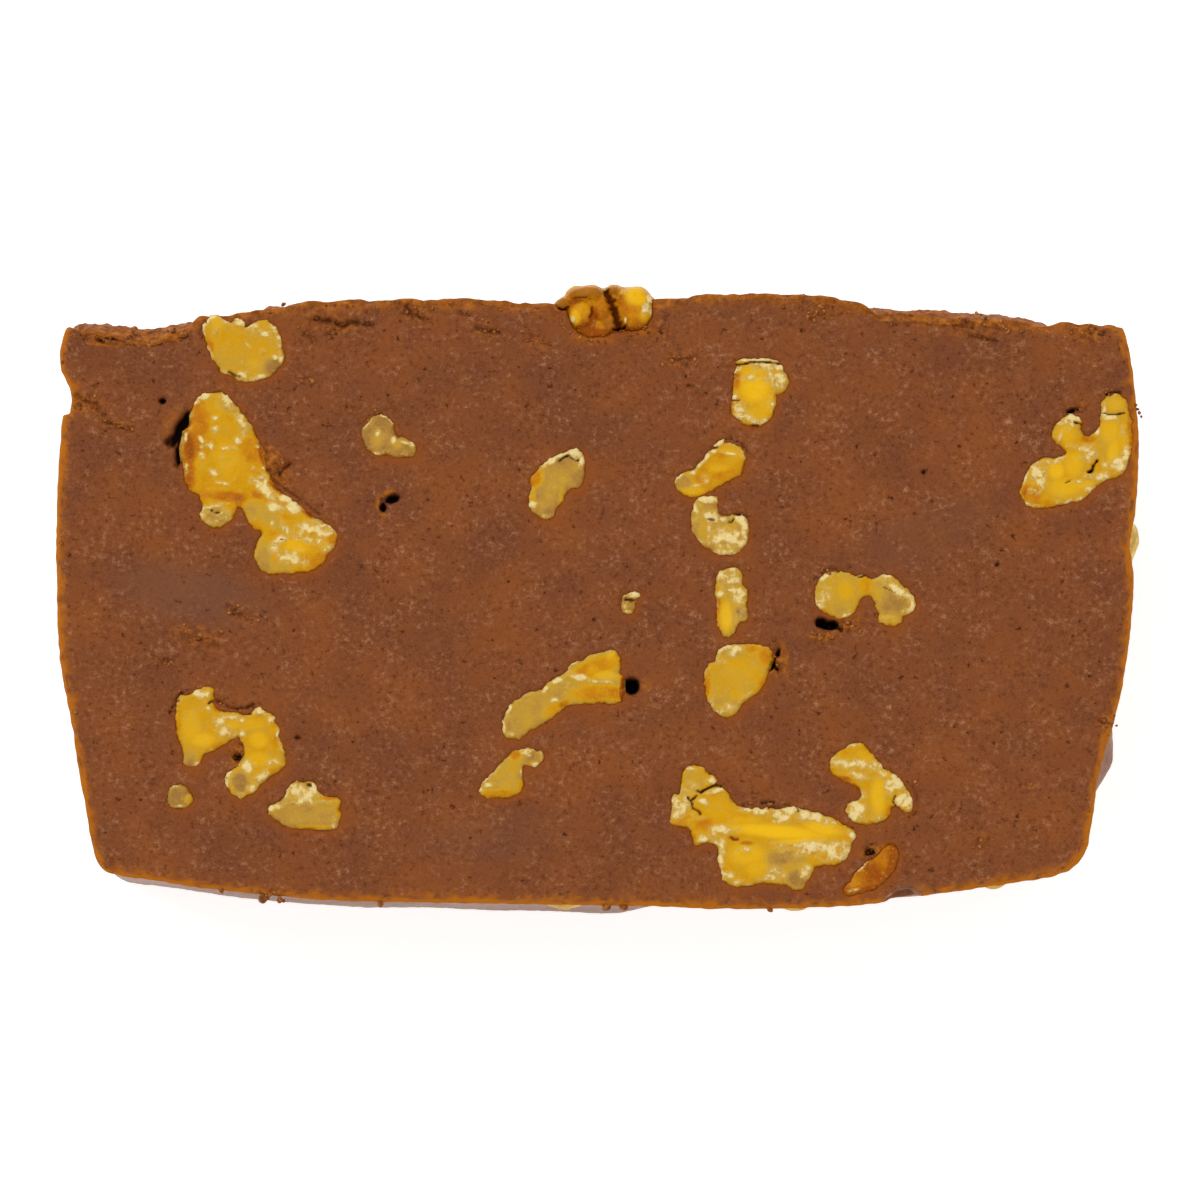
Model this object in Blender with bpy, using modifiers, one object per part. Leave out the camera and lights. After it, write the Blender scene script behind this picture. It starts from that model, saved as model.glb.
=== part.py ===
"""Chocolate fudge slice with walnut pieces.

The slice lies on its back cut face. +X runs along its length, +Y towards its crusted top side,
+Z out of its front cut face. The origin is the middle of the underside. Sizes below are in
millimetres, and every finished mesh is scaled to metres.
"""

import math
from collections import namedtuple

import bmesh
import bpy
from mathutils import Matrix, Vector, noise

MM = 0.001

# Slice
THICKNESS = 26.0            # back cut face to front cut face
CENTRE = (-0.171, 0.216)    # middle of the whole slice, in the outline's own coordinates
OUTLINE_STEP = 2.7          # spacing of the points round the outline
RING_DEPTHS = (0.0, 1.0, 2.6, 5.0, 7.6, 10.4, 13.2, 16.0, 18.8, 21.6, 24.6, THICKNESS)

# Front outline, clockwise, x and y
TOP_EDGE = [(-49.0, 25.9), (-46.0, 26.1), (-42.2, 25.5), (-36.0, 26.8), (-30.0, 27.7), (-14.0, 28.1),
            (-5.0, 27.7), (6.0, 28.1), (9.0, 28.5), (20.0, 28.4), (27.0, 27.4), (36.0, 27.0),
            (44.0, 25.8), (48.2, 25.6)]
RIGHT_EDGE = [(48.9, 24.4), (49.6, 20.0), (50.0, 14.0), (49.7, 8.5), (49.2, 5.0), (49.5, 1.5),
              (48.8, -5.5), (47.8, -10.6), (46.4, -15.5), (45.4, -21.0), (44.9, -23.3)]
BOTTOM_EDGE = [(43.2, -25.2), (38.0, -26.3), (31.0, -27.3), (24.0, -28.3), (14.0, -28.7), (3.0, -28.4),
               (-12.0, -28.1), (-26.0, -27.8), (-36.0, -26.8), (-42.0, -25.9), (-45.4, -25.3)]
LEFT_EDGE = [(-46.6, -24.1), (-47.4, -20.3), (-48.2, -16.0), (-49.1, -10.5), (-49.9, -6.5),
             (-50.3, -1.0), (-50.4, 8.0), (-50.0, 15.5), (-49.8, 17.1), (-49.1, 18.0), (-49.2, 19.6),
             (-50.0, 21.4), (-50.1, 23.5)]

# Side walls
EDGE_BAND = 2.5             # depth over which a wall takes on its own unevenness
WAVE = 0.5                  # deepest hollow of a moulded wall
WAVE_SIZE = 9.0
CRUST = 1.0                 # deepest hollow of the crusted top side
CRUST_SIZE = 5.0
CRUMB = 0.5                 # smaller crags on that crust
CRUMB_SIZE = 2.1
BACK_EDGE = 0.5             # how far the back edge is rubbed down
DRAFT = 0.9                 # the bottom wall leans in by this much, right of DRAFT_START
DRAFT_START = (1.0, 6.0)
Worn = namedtuple("Worn", "start end inset")
WORN_TOP_EDGE = [Worn(-50.0, -37.0, 1.4), Worn(-37.0, -28.0, 0.5), Worn(24.0, 43.0, 0.9)]
WORN_FADE = 2.0
Bump = namedtuple("Bump", "x y depth height size")
WALL_BUMPS = [Bump(46.7, -14.5, 7.5, 1.3, 2.7), Bump(-49.5, 18.9, 9.0, 0.9, 2.2)]

# Walnut pieces
GAP = 0.3                   # clearance between a walnut piece and its pocket
VOXEL = 0.45
SMOOTHING = 4
DEPTH_SHARE = 1.25          # a lobe's depth against its mean half width
LEAST_DEPTH = 1.1
RELIEF = 0.22
RELIEF_SIZE = 2.4
LOBE_TRIANGLES = 33
LEAST_TRIANGLES = 64

# A lobe is an ellipsoid: its middle, its half length and half width, and its turn in degrees
Lobe = namedtuple("Lobe", "x y length width turn", defaults=(0.0,))
CUT_NUTS = {
    "walnut_upper_left": [
        Lobe(-33.0, 23.0, 3.5, 2.8), Lobe(-35.4, 24.6, 1.5, 1.3), Lobe(-31.4, 24.5, 1.6, 1.5),
        Lobe(-30.8, 22.6, 1.6, 1.5), Lobe(-32.4, 21.4, 1.8, 1.3),
    ],
    "walnut_long": [
        Lobe(-35.6, 13.9, 4.6, 3.1, 95), Lobe(-35.8, 17.3, 2.2, 2.1), Lobe(-33.3, 14.6, 4.2, 1.8, 118),
        Lobe(-35.0, 10.5, 2.6, 2.4), Lobe(-35.5, 8.1, 1.6, 1.6), Lobe(-31.2, 9.4, 4.3, 1.7, -42),
        Lobe(-28.3, 4.9, 3.8, 2.4, 10), Lobe(-26.6, 6.3, 1.9, 1.5, -20),
    ],
    "walnut_bean_tan": [
        Lobe(-20.6, 15.4, 1.95, 1.5, 80), Lobe(-19.6, 14.6, 1.2, 1.1), Lobe(-18.4, 14.2, 1.5, 1.0),
    ],
    "walnut_bean_pale": [
        Lobe(-4.0, 10.9, 3.5, 1.75, 57), Lobe(-2.4, 12.8, 1.2, 1.1), Lobe(-5.2, 9.3, 1.5, 1.4),
    ],
    "walnut_upper_right": [
        Lobe(14.2, 19.3, 3.2, 2.0, 88), Lobe(16.1, 20.4, 1.6, 1.2), Lobe(14.4, 21.6, 2.1, 0.9),
        Lobe(15.2, 17.9, 1.3, 1.6),
    ],
    "walnut_bean_amber": [
        Lobe(11.5, 12.8, 2.2, 1.75, 40), Lobe(9.0, 11.2, 2.3, 1.35, 25),
    ],
    "walnut_curl": [
        Lobe(9.5, 7.0, 2.4, 0.95, 95), Lobe(11.2, 5.2, 2.2, 1.1), Lobe(13.0, 6.3, 1.9, 0.95, 80),
        Lobe(9.9, 8.6, 1.1, 0.7, 10), Lobe(11.0, 7.3, 1.5, 0.7, -10), Lobe(11.4, 6.4, 1.8, 1.4),
    ],
    "walnut_stub": [
        Lobe(12.0, 0.9, 2.0, 1.35, 90), Lobe(11.8, -1.7, 1.8, 1.0, 85), Lobe(12.8, -0.7, 1.4, 0.9, 100),
    ],
    "walnut_middle": [
        Lobe(12.8, -6.8, 2.8, 2.5), Lobe(11.9, -8.9, 2.0, 1.8, 90), Lobe(14.4, -5.5, 1.3, 1.2),
        Lobe(10.9, -7.2, 1.3, 1.5),
    ],
    "walnut_twin": [
        Lobe(22.0, 0.5, 2.4, 2.15), Lobe(27.4, 0.1, 2.5, 1.7, 115), Lobe(26.6, -0.8, 1.8, 1.1, 100),
        Lobe(24.7, 1.5, 1.3, 0.7, -8),
    ],
    "walnut_right_hook": [
        Lobe(47.5, 15.6, 4.0, 1.45, 88), Lobe(47.0, 13.0, 2.0, 1.7, 30), Lobe(44.3, 11.3, 3.0, 2.2, 20),
        Lobe(41.2, 10.7, 2.5, 2.1, 20), Lobe(43.3, 15.6, 1.5, 1.5), Lobe(43.9, 13.9, 1.2, 1.2),
        Lobe(45.5, 14.0, 1.3, 1.3),
    ],
    "walnut_lower_left": [
        Lobe(-37.6, -11.4, 2.6, 1.6, 75), Lobe(-37.8, -14.4, 1.3, 0.8, 90), Lobe(-34.4, -11.6, 2.4, 1.2),
        Lobe(-31.2, -12.9, 2.9, 1.6, 80), Lobe(-32.2, -16.0, 2.6, 1.6, 40), Lobe(-33.5, -17.3, 1.3, 1.1),
        Lobe(-36.6, -8.9, 1.2, 0.8, 10),
    ],
    "walnut_chip_left": [
        Lobe(-38.8, -18.3, 1.1, 1.0),
    ],
    "walnut_mound": [
        Lobe(-27.2, -19.8, 3.5, 1.4), Lobe(-27.5, -18.0, 1.6, 1.3), Lobe(-25.8, -20.3, 2.0, 1.2, -5),
    ],
    "walnut_lower_centre": [
        Lobe(-6.6, -10.8, 2.8, 1.7, 35), Lobe(-3.2, -9.0, 2.5, 1.3, 30), Lobe(-0.2, -6.5, 2.6, 1.5, 28),
        Lobe(-0.5, -8.5, 2.5, 1.1),
    ],
    "walnut_lower_chip": [
        Lobe(-9.0, -16.5, 2.5, 1.5, 45), Lobe(-8.6, -17.4, 1.6, 1.1), Lobe(-6.4, -14.7, 1.2, 0.95),
    ],
    "walnut_chip_centre": [
        Lobe(2.8, -0.2, 1.05, 0.8, 70),
    ],
    "walnut_big": [
        Lobe(9.1, -16.6, 1.9, 1.5, -30), Lobe(7.6, -19.3, 1.7, 1.2, 100), Lobe(10.6, -19.2, 2.6, 1.6, -30),
        Lobe(8.9, -21.2, 1.9, 1.0, -30), Lobe(14.5, -21.7, 4.6, 2.3, -8), Lobe(19.8, -21.9, 3.4, 2.2, -12),
        Lobe(13.3, -24.3, 2.5, 2.2), Lobe(16.5, -24.2, 3.4, 2.2), Lobe(18.2, -25.0, 1.4, 1.4),
    ],
    "walnut_lower_right": [
        Lobe(23.7, -15.0, 2.6, 1.6, 15), Lobe(25.9, -17.0, 3.6, 1.5, -45), Lobe(25.3, -18.9, 1.7, 1.9),
        Lobe(23.9, -19.3, 1.1, 1.1), Lobe(28.2, -18.7, 1.0, 1.0),
    ],
}

# Pieces that keep their skin and sit back in a wider pocket: how far back, and how much wider
Sunk = namedtuple("Sunk", "back wider lobes")
SUNK_NUTS = {
    "walnut_crown": Sunk(3.4, 0.55, [
        Lobe(-2.0, 26.6, 2.0, 1.7), Lobe(0.0, 26.6, 1.6, 2.0), Lobe(3.0, 27.0, 1.9, 2.2),
        Lobe(-1.3, 28.3, 1.6, 0.9),
    ]),
    "walnut_skin": Sunk(2.9, 0.25, [Lobe(25.2, -24.9, 3.0, 1.25, 42)]),
}

# Pieces in the side walls: middle (x, y, depth below the front) and half sizes
WallNut = namedtuple("WallNut", "x y depth half_x half_y half_z")
WALL_NUTS = {
    "walnut_right_wall": WallNut(48.6, 6.0, 4.3, 1.5, 2.6, 2.4),
    "walnut_left_notch": WallNut(-48.6, 18.9, 3.6, 1.5, 1.6, 1.9),
    "walnut_base_wall": WallNut(-3.4, -27.0, 6.2, 2.6, 1.5, 2.9),
    "walnut_top_a": WallNut(-24.0, 25.9, 12.0, 3.6, 2.0, 2.9),
    "walnut_top_b": WallNut(16.0, 26.6, 15.5, 2.7, 1.9, 3.6),
    "walnut_top_c": WallNut(37.0, 24.9, 11.0, 3.2, 1.9, 2.3),
    "walnut_left_wall": WallNut(-48.6, -1.5, 14.0, 1.8, 3.4, 2.7),
    "walnut_right_low": WallNut(46.8, -8.0, 17.5, 1.8, 2.7, 3.3),
    "walnut_base_b": WallNut(18.0, -26.5, 15.0, 3.1, 1.8, 2.4),
    "walnut_base_c": WallNut(36.5, -24.7, 9.5, 2.3, 1.7, 2.9),
}

# Pieces cut through by the back face: the front piece whose form each takes, its place and turn
BackNut = namedtuple("BackNut", "form x y turn")
BACK_NUTS = {
    "walnut_back_a": BackNut("walnut_twin", -31.0, 12.0, 65.0),
    "walnut_back_b": BackNut("walnut_middle", -9.0, -14.0, 200.0),
    "walnut_back_c": BackNut("walnut_long", 25.0, -8.0, 150.0),
    "walnut_back_d": BackNut("walnut_bean_amber", 5.0, 11.0, 100.0),
    "walnut_back_e": BackNut("walnut_upper_right", -34.0, -13.0, 40.0),
    "walnut_back_f": BackNut("walnut_curl", 36.0, 13.0, 220.0),
    "walnut_back_g": BackNut("walnut_stub", -13.0, 4.0, 60.0),
}

# Holes in the front face: lobes with a depth
Pit = namedtuple("Pit", "x y length width turn depth")
PITS = {
    "cavity_by_long": [Pit(-39.3, 14.9, 2.0, 0.9, 60, 4.0), Pit(-38.5, 16.6, 1.2, 0.5, 65, 3.0),
                       Pit(-39.3, 13.9, 1.0, 0.7, 0, 3.5)],
    "hole_pair": [Pit(-19.3, 9.5, 0.75, 0.45, 20, 2.5), Pit(-20.0, 8.6, 0.5, 0.45, 0, 2.2)],
    "pore_upper_left": [Pit(-40.6, 18.5, 0.4, 0.35, 0, 1.6)],
    "hole_by_lower_centre": [Pit(3.1, -8.0, 0.8, 0.8, 0, 3.0)],
    "slot_under_twin": [Pit(21.0, -2.6, 1.1, 0.5, -10, 3.0)],
    "slot_by_middle": [Pit(16.3, -5.9, 0.9, 0.4, 65, 2.0)],
    "slot_over_hook": [Pit(43.9, 17.8, 0.7, 0.35, 10, 1.5)],
    "scoop_at_bottom": [Pit(28.0, -27.6, 1.8, 1.0, 8, 2.5)],
}

# Surface colours
FUDGE_COLOUR = "7f4829"
FLESH_COLOUR = "c79a3c"
SKIN_COLOUR = "b06a14"


def linear(channel):
    """One sRGB channel, 0 to 1, as linear light."""
    if channel <= 0.04045:
        return channel / 12.92
    return ((channel + 0.055) / 1.055) ** 2.4


def make_material(name, colour, roughness):
    material = bpy.data.materials.new(name)
    material.use_nodes = True
    shader = material.node_tree.nodes["Principled BSDF"]
    channels = [int(colour[place:place + 2], 16) / 255.0 for place in (0, 2, 4)]
    shader.inputs["Base Color"].default_value = [linear(channel) for channel in channels] + [1.0]
    shader.inputs["Roughness"].default_value = roughness
    shader.inputs["Metallic"].default_value = 0.0
    return material


def make_collection(name):
    collection = bpy.data.collections.new(name)
    bpy.context.scene.collection.children.link(collection)
    return collection


def smooth_step(low, high, value):
    share = max(0.0, min(1.0, (value - low) / (high - low)))
    return share * share * (3.0 - 2.0 * share)


def hollow(position, size):
    """Uneven value from 0 to 1 that changes over about the given size."""
    return max(0.0, min(1.0, 0.5 + 0.8 * noise.noise(position / size)))


def smooth_outline(stations, step):
    """Points about one step apart on a closed smooth curve through the stations."""
    corners = [Vector(station) for station in stations]
    count = len(corners)
    tangents = []
    for index in range(count):
        before, here, after = corners[index - 1], corners[index], corners[(index + 1) % count]
        tangents.append((after - before) / ((after - here).length + (here - before).length))
    points = []
    for index in range(count):
        start, end = corners[index], corners[(index + 1) % count]
        length = (end - start).length
        pieces = max(1, round(length / step))
        for piece in range(pieces):
            t = piece / pieces
            points.append(start * (2 * t ** 3 - 3 * t ** 2 + 1) + end * (3 * t ** 2 - 2 * t ** 3)
                          + tangents[index] * length * (t ** 3 - 2 * t ** 2 + t)
                          + tangents[(index + 1) % count] * length * (t ** 3 - t ** 2))
    return points


def wear(x):
    """How far the top front edge is crumbled back at this x."""
    return max(worn.inset * smooth_step(worn.start, worn.start + WORN_FADE, x)
               * (1.0 - smooth_step(worn.end - WORN_FADE, worn.end, x)) for worn in WORN_TOP_EDGE)


def wall_point(point, outward, depth):
    """The outline's point moved to where the wall is at this depth."""
    place = Vector((point.x, point.y, depth))
    below = smooth_step(0.0, EDGE_BAND, depth)
    topside = smooth_step(0.5, 0.9, outward.y)
    push = -below * (1.0 - topside) * WAVE * hollow(place, WAVE_SIZE)
    push -= below * topside * (CRUST * hollow(place, CRUST_SIZE) + CRUMB * hollow(place, CRUMB_SIZE))
    push -= (1.0 - below) * topside * wear(point.x) * (0.7 + 0.6 * hollow(place, CRUMB_SIZE))
    push -= BACK_EDGE * smooth_step(RING_DEPTHS[-2], THICKNESS, depth)
    if outward.y < -0.5:
        push -= DRAFT * smooth_step(*DRAFT_START, point.x) * depth / THICKNESS
    for bump in WALL_BUMPS:
        apart = (place - Vector((bump.x, bump.y, bump.depth))).length
        push += bump.height * math.exp(-(apart / bump.size) ** 2)
    moved = point + outward * push
    return Vector((moved.x, moved.y, THICKNESS - depth))


def make_block():
    """The fudge before its pockets are cut: uneven rings of the outline, lofted and capped."""
    points = smooth_outline(TOP_EDGE + RIGHT_EDGE + BOTTOM_EDGE + LEFT_EDGE, OUTLINE_STEP)
    count = len(points)
    outwards = []
    for index in range(count):
        along = points[(index + 1) % count] - points[index - 1]
        outwards.append(Vector((-along.y, along.x)).normalized())
    mesh = bmesh.new()
    rings = []
    for depth in RING_DEPTHS:
        rings.append([mesh.verts.new(wall_point(point, outward, depth))
                      for point, outward in zip(points, outwards)])
    walls = []
    for upper, lower in zip(rings, rings[1:]):
        for index in range(count):
            after = (index + 1) % count
            walls.append(mesh.faces.new((upper[index], upper[after], lower[after], lower[index])))
    bmesh.ops.triangulate(mesh, faces=walls)
    mesh.faces.new(rings[0])
    mesh.faces.new(rings[-1])
    bmesh.ops.recalc_face_normals(mesh, faces=mesh.faces)
    return mesh


def add_ellipsoid(mesh, middle, half_sizes, turn=0.0, subdivisions=3):
    matrix = (Matrix.Translation(middle) @ Matrix.Rotation(math.radians(turn), 4, "Z")
              @ Matrix.Diagonal((*half_sizes, 1.0)))
    bmesh.ops.create_icosphere(mesh, subdivisions=subdivisions, radius=1.0, matrix=matrix)


def lobe_depth(lobe):
    return max(LEAST_DEPTH, DEPTH_SHARE * math.sqrt(lobe.length * lobe.width))


def baked(mesh, modifiers):
    """The mesh after the given modifiers, as a new bmesh in the same millimetres."""
    data = bpy.data.meshes.new("working")
    mesh.to_mesh(data)
    mesh.free()
    working = bpy.data.objects.new("working", data)
    bpy.context.scene.collection.objects.link(working)
    for kind, settings in modifiers:
        modifier = working.modifiers.new(kind.title(), kind)
        for setting, value in settings.items():
            setattr(modifier, setting, value)
    evaluated = working.evaluated_get(bpy.context.evaluated_depsgraph_get())
    result = bmesh.new()
    result.from_mesh(evaluated.data)
    bpy.data.objects.remove(working)
    bpy.data.meshes.remove(data)
    return result


def fuse_lobes(mesh, lobe_count):
    """One uneven closed form round all the ellipsoids, with few faces."""
    fused = baked(mesh, [("REMESH", {"mode": "VOXEL", "voxel_size": VOXEL}),
                         ("SMOOTH", {"factor": 0.5, "iterations": SMOOTHING})])
    fused.normal_update()
    for vertex in fused.verts:
        vertex.co += vertex.normal * RELIEF * noise.noise(vertex.co / RELIEF_SIZE)
    bmesh.ops.triangulate(fused, faces=fused.faces)
    wanted = max(LEAST_TRIANGLES, LOBE_TRIANGLES * lobe_count)
    ratio = min(1.0, wanted / len(fused.faces))
    return baked(fused, [("DECIMATE", {"ratio": ratio})])


def lobed_form(lobes, level):
    """A walnut piece whose lobes are centred at one height."""
    mesh = bmesh.new()
    for lobe in lobes:
        add_ellipsoid(mesh, (lobe.x, lobe.y, level), (lobe.length, lobe.width, lobe_depth(lobe)), lobe.turn)
    return fuse_lobes(mesh, len(lobes))


def wall_form(nut):
    """A walnut piece of three lobes that shows in a side wall."""
    mesh = bmesh.new()
    middle = Vector((nut.x, nut.y, THICKNESS - nut.depth))
    half = Vector((nut.half_x, nut.half_y, nut.half_z))
    add_ellipsoid(mesh, middle, half)
    reach = half * 0.5
    flat = 0 if nut.half_x < nut.half_y else 1
    reach[flat] = 0.0
    add_ellipsoid(mesh, middle + reach, half * 0.72)
    add_ellipsoid(mesh, middle - Vector((reach.x, reach.y, -reach.z)), half * 0.66)
    return fuse_lobes(mesh, 3)


def cut_flat(mesh, level, upwards):
    """Cut off what stands past a level, and close the cut with one flat face."""
    facing = Vector((0.0, 0.0, 1.0 if upwards else -1.0))
    geometry = mesh.verts[:] + mesh.edges[:] + mesh.faces[:]
    bmesh.ops.bisect_plane(mesh, geom=geometry, dist=0.01, plane_co=(0.0, 0.0, level), plane_no=facing,
                           use_snap_center=True, clear_outer=True)
    rim = [edge for edge in mesh.edges if edge.is_boundary]
    bmesh.ops.holes_fill(mesh, edges=rim, sides=0)
    bmesh.ops.recalc_face_normals(mesh, faces=mesh.faces)


def widened(mesh, width):
    """A copy of a form whose surface stands out by the width, for its pocket."""
    copy = mesh.copy()
    copy.normal_update()
    moves = [vertex.normal * width for vertex in copy.verts]
    for vertex, move in zip(copy.verts, moves):
        vertex.co += move
    return copy


def add_object(name, mesh, collection, material=None):
    """The finished form as an object in metres, centred over the origin."""
    place = Matrix.Scale(MM, 4) @ Matrix.Translation((-CENTRE[0], -CENTRE[1], 0.0))
    bmesh.ops.transform(mesh, matrix=place, verts=mesh.verts)
    data = bpy.data.meshes.new(name)
    mesh.to_mesh(data)
    mesh.free()
    made = bpy.data.objects.new(name, data)
    collection.objects.link(made)
    if material:
        data.materials.append(material)
    return made


def add_cutter(name, mesh, collection):
    cutter = add_object(name, mesh, collection)
    cutter.display_type = "WIRE"
    cutter.hide_render = True
    return cutter


def add_cut_nuts(slice_parts, cutters, flesh):
    for name, lobes in CUT_NUTS.items():
        form = lobed_form(lobes, THICKNESS)
        add_cutter("pocket_" + name, widened(form, GAP), cutters)
        cut_flat(form, THICKNESS, upwards=True)
        add_object(name, form, slice_parts, flesh)


def add_sunk_nuts(slice_parts, cutters, skin):
    for name, nut in SUNK_NUTS.items():
        level = THICKNESS - nut.back
        form = lobed_form(nut.lobes, level)
        pocket = widened(form, GAP + nut.wider)
        upper = [vertex for vertex in pocket.verts if vertex.co.z > level]
        bmesh.ops.translate(pocket, vec=(0.0, 0.0, nut.back), verts=upper)
        add_cutter("pocket_" + name, pocket, cutters)
        add_object(name, form, slice_parts, skin)


def add_wall_nuts(slice_parts, cutters, flesh):
    for name, nut in WALL_NUTS.items():
        form = wall_form(nut)
        add_cutter("pocket_" + name, widened(form, GAP), cutters)
        add_object(name, form, slice_parts, flesh)


def add_back_nuts(slice_parts, cutters, flesh):
    for name, nut in BACK_NUTS.items():
        lobes = CUT_NUTS[nut.form]
        middle = Vector((sum(lobe.x for lobe in lobes), sum(lobe.y for lobe in lobes), 0.0)) / len(lobes)
        form = lobed_form(lobes, 0.0)
        place = (Matrix.Translation((nut.x, nut.y, 0.0)) @ Matrix.Rotation(math.radians(nut.turn), 4, "Z")
                 @ Matrix.Translation(-middle))
        bmesh.ops.transform(form, matrix=place, verts=form.verts)
        add_cutter("pocket_" + name, widened(form, GAP), cutters)
        cut_flat(form, 0.0, upwards=False)
        add_object(name, form, slice_parts, flesh)


def add_pits(cutters):
    for name, hollows in PITS.items():
        for index, pit in enumerate(hollows):
            mesh = bmesh.new()
            add_ellipsoid(mesh, (pit.x, pit.y, THICKNESS), (pit.length, pit.width, pit.depth), pit.turn, 2)
            add_cutter(f"{name}_{index}", mesh, cutters)


def add_fudge(slice_parts, cutters, material):
    fudge = add_object("fudge", make_block(), slice_parts, material)
    carve = fudge.modifiers.new("Pockets and pits", "BOOLEAN")
    carve.operation = "DIFFERENCE"
    carve.operand_type = "COLLECTION"
    carve.collection = cutters
    carve.solver = "EXACT"
    carve.use_self = True


def main():
    for leftover in list(bpy.data.objects):
        bpy.data.objects.remove(leftover)
    slice_parts = make_collection("chocolate_fudge")
    cutters = make_collection("cutters")
    fudge = make_material("fudge", FUDGE_COLOUR, 0.55)
    flesh = make_material("walnut_flesh", FLESH_COLOUR, 0.45)
    skin = make_material("walnut_skin", SKIN_COLOUR, 0.4)
    add_cut_nuts(slice_parts, cutters, flesh)
    add_sunk_nuts(slice_parts, cutters, skin)
    add_wall_nuts(slice_parts, cutters, flesh)
    add_back_nuts(slice_parts, cutters, flesh)
    add_pits(cutters)
    add_fudge(slice_parts, cutters, fudge)


main()
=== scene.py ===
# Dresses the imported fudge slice: a fine cut face, crumbled edges and flaky walnut pieces.
import math
import random

import bpy
import numpy as np
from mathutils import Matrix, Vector, kdtree, noise


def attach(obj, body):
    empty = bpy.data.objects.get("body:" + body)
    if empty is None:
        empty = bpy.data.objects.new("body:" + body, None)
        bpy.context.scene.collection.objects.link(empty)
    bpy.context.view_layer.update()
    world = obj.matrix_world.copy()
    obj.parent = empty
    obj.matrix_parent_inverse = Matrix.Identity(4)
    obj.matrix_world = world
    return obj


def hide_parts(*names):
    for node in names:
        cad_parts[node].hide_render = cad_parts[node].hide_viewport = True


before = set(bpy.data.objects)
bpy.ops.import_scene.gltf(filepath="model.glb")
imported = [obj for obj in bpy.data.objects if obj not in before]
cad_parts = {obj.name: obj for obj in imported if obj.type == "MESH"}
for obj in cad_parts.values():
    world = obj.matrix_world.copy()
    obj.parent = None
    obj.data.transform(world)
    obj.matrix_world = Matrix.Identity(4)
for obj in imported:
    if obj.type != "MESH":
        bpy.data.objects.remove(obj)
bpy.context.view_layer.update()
print("frame loaded:", len(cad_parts), "nodes")

# Everything is modelled in millimetres round the photograph's middle, and settled into the frame at the end
slab = {
    "thickness": 26.0,
    "middle": (-0.171, 0.216),
    "topEdge": [(-49.0, 25.9), (-46.0, 26.1), (-42.2, 25.5), (-36.0, 26.8), (-30.0, 27.7), (-14.0, 28.1),
                (-5.0, 27.7), (6.0, 28.1), (9.0, 28.5), (20.0, 28.4), (27.0, 27.4), (36.0, 27.0),
                (44.0, 25.8), (48.2, 25.6)],
    "rightEdge": [(48.9, 24.4), (49.6, 20.0), (50.0, 14.0), (49.7, 8.5), (49.2, 5.0), (49.5, 1.5),
                  (48.8, -5.5), (47.8, -10.6), (46.4, -15.5), (45.4, -21.0), (44.9, -23.3)],
    "bottomEdge": [(43.2, -25.2), (38.0, -26.3), (31.0, -27.3), (24.0, -28.3), (14.0, -28.7), (3.0, -28.4),
                   (-12.0, -28.1), (-26.0, -27.8), (-36.0, -26.8), (-42.0, -25.9), (-45.4, -25.3)],
    "leftEdge": [(-46.6, -24.1), (-47.4, -20.3), (-48.2, -16.0), (-49.1, -10.5), (-49.9, -6.5),
                 (-50.3, -1.0), (-50.4, 8.0), (-50.0, 15.5), (-49.8, 17.1), (-49.1, 18.0), (-49.2, 19.6),
                 (-50.0, 21.4), (-50.1, 23.5)],
    "corners": [(-49.7, 25.2), (48.6, 25.2), (44.3, -24.5), (-46.1, -24.9)],  # clockwise from the top left
    "step": 0.1, "smoothing": 5,    # points along the outline, and how far its normals look
    "gridSize": (100.5, 54.5), "cell": 0.20,  # the front face's grid
    "rings": 30, "ringEase": 1.5,    # rows of faces down the side walls, closer at the front
    "pushReach": 4.0, "pushEase": 1.6, "pushLoss": 0.4,    # how far in the walls' unevenness goes
    "backWave": 0.10, "backWaveSize": 6.0, "backPits": (0.6, 1.4),
    "mostTriangles": 196000,    # the flat places are thinned to this
}


def smoothStep(low, high, value):
    # works downhill too, when low is above high
    share = np.clip((value - low) / (high - low), 0.0, 1.0)
    return share * share * (3.0 - 2.0 * share)


def noiseAt(points, size, shift=0.0):
    # the shift reads another part of the noise, so that no two fields look alike
    return np.array([noise.noise(Vector(point)) for point in points / size + shift])


def swell(points, heightAndSize, shift=0.0):
    height, size = heightAndSize
    return height * noiseAt(points, size, shift)


def hollowAt(points, size):
    return np.clip(0.5 + 0.8 * noiseAt(points, size), 0.0, 1.0)


def patchRadius(points, patch):
    # 0 at the middle of a turned ellipse and 1 on its rim
    turn = math.radians(patch[4])
    across, up = points[:, 0] - patch[0], points[:, 1] - patch[1]
    along = (across * math.cos(turn) + up * math.sin(turn)) / patch[2]
    aside = (up * math.cos(turn) - across * math.sin(turn)) / patch[3]
    return np.sqrt(along ** 2 + aside ** 2)


def patchField(points, patches, soft=0.5):
    total = np.zeros(len(points))
    for patch in patches:
        faded = 1.0 - smoothStep(1.0 - soft, 1.0 + soft, patchRadius(points, patch))
        total = np.maximum(total, patch[5] * faded)
    return total


def readPoints(obj):
    flat = np.zeros(len(obj.data.vertices) * 3)
    obj.data.vertices.foreach_get("co", flat)
    return flat.reshape(-1, 3)


def readNormals(obj):
    flat = np.zeros(len(obj.data.vertices) * 3)
    obj.data.vertex_normals.foreach_get("vector", flat)
    return flat.reshape(-1, 3)


def writePoints(obj, points):
    obj.data.vertices.foreach_set("co", np.ascontiguousarray(points, dtype=np.float32).ravel())
    obj.data.update()


def paint(obj, name, values):
    layer = obj.data.attributes.new(name, "FLOAT", "POINT")
    layer.data.foreach_set("value", np.clip(values, 0.0, 1.0).astype(np.float32))


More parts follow.
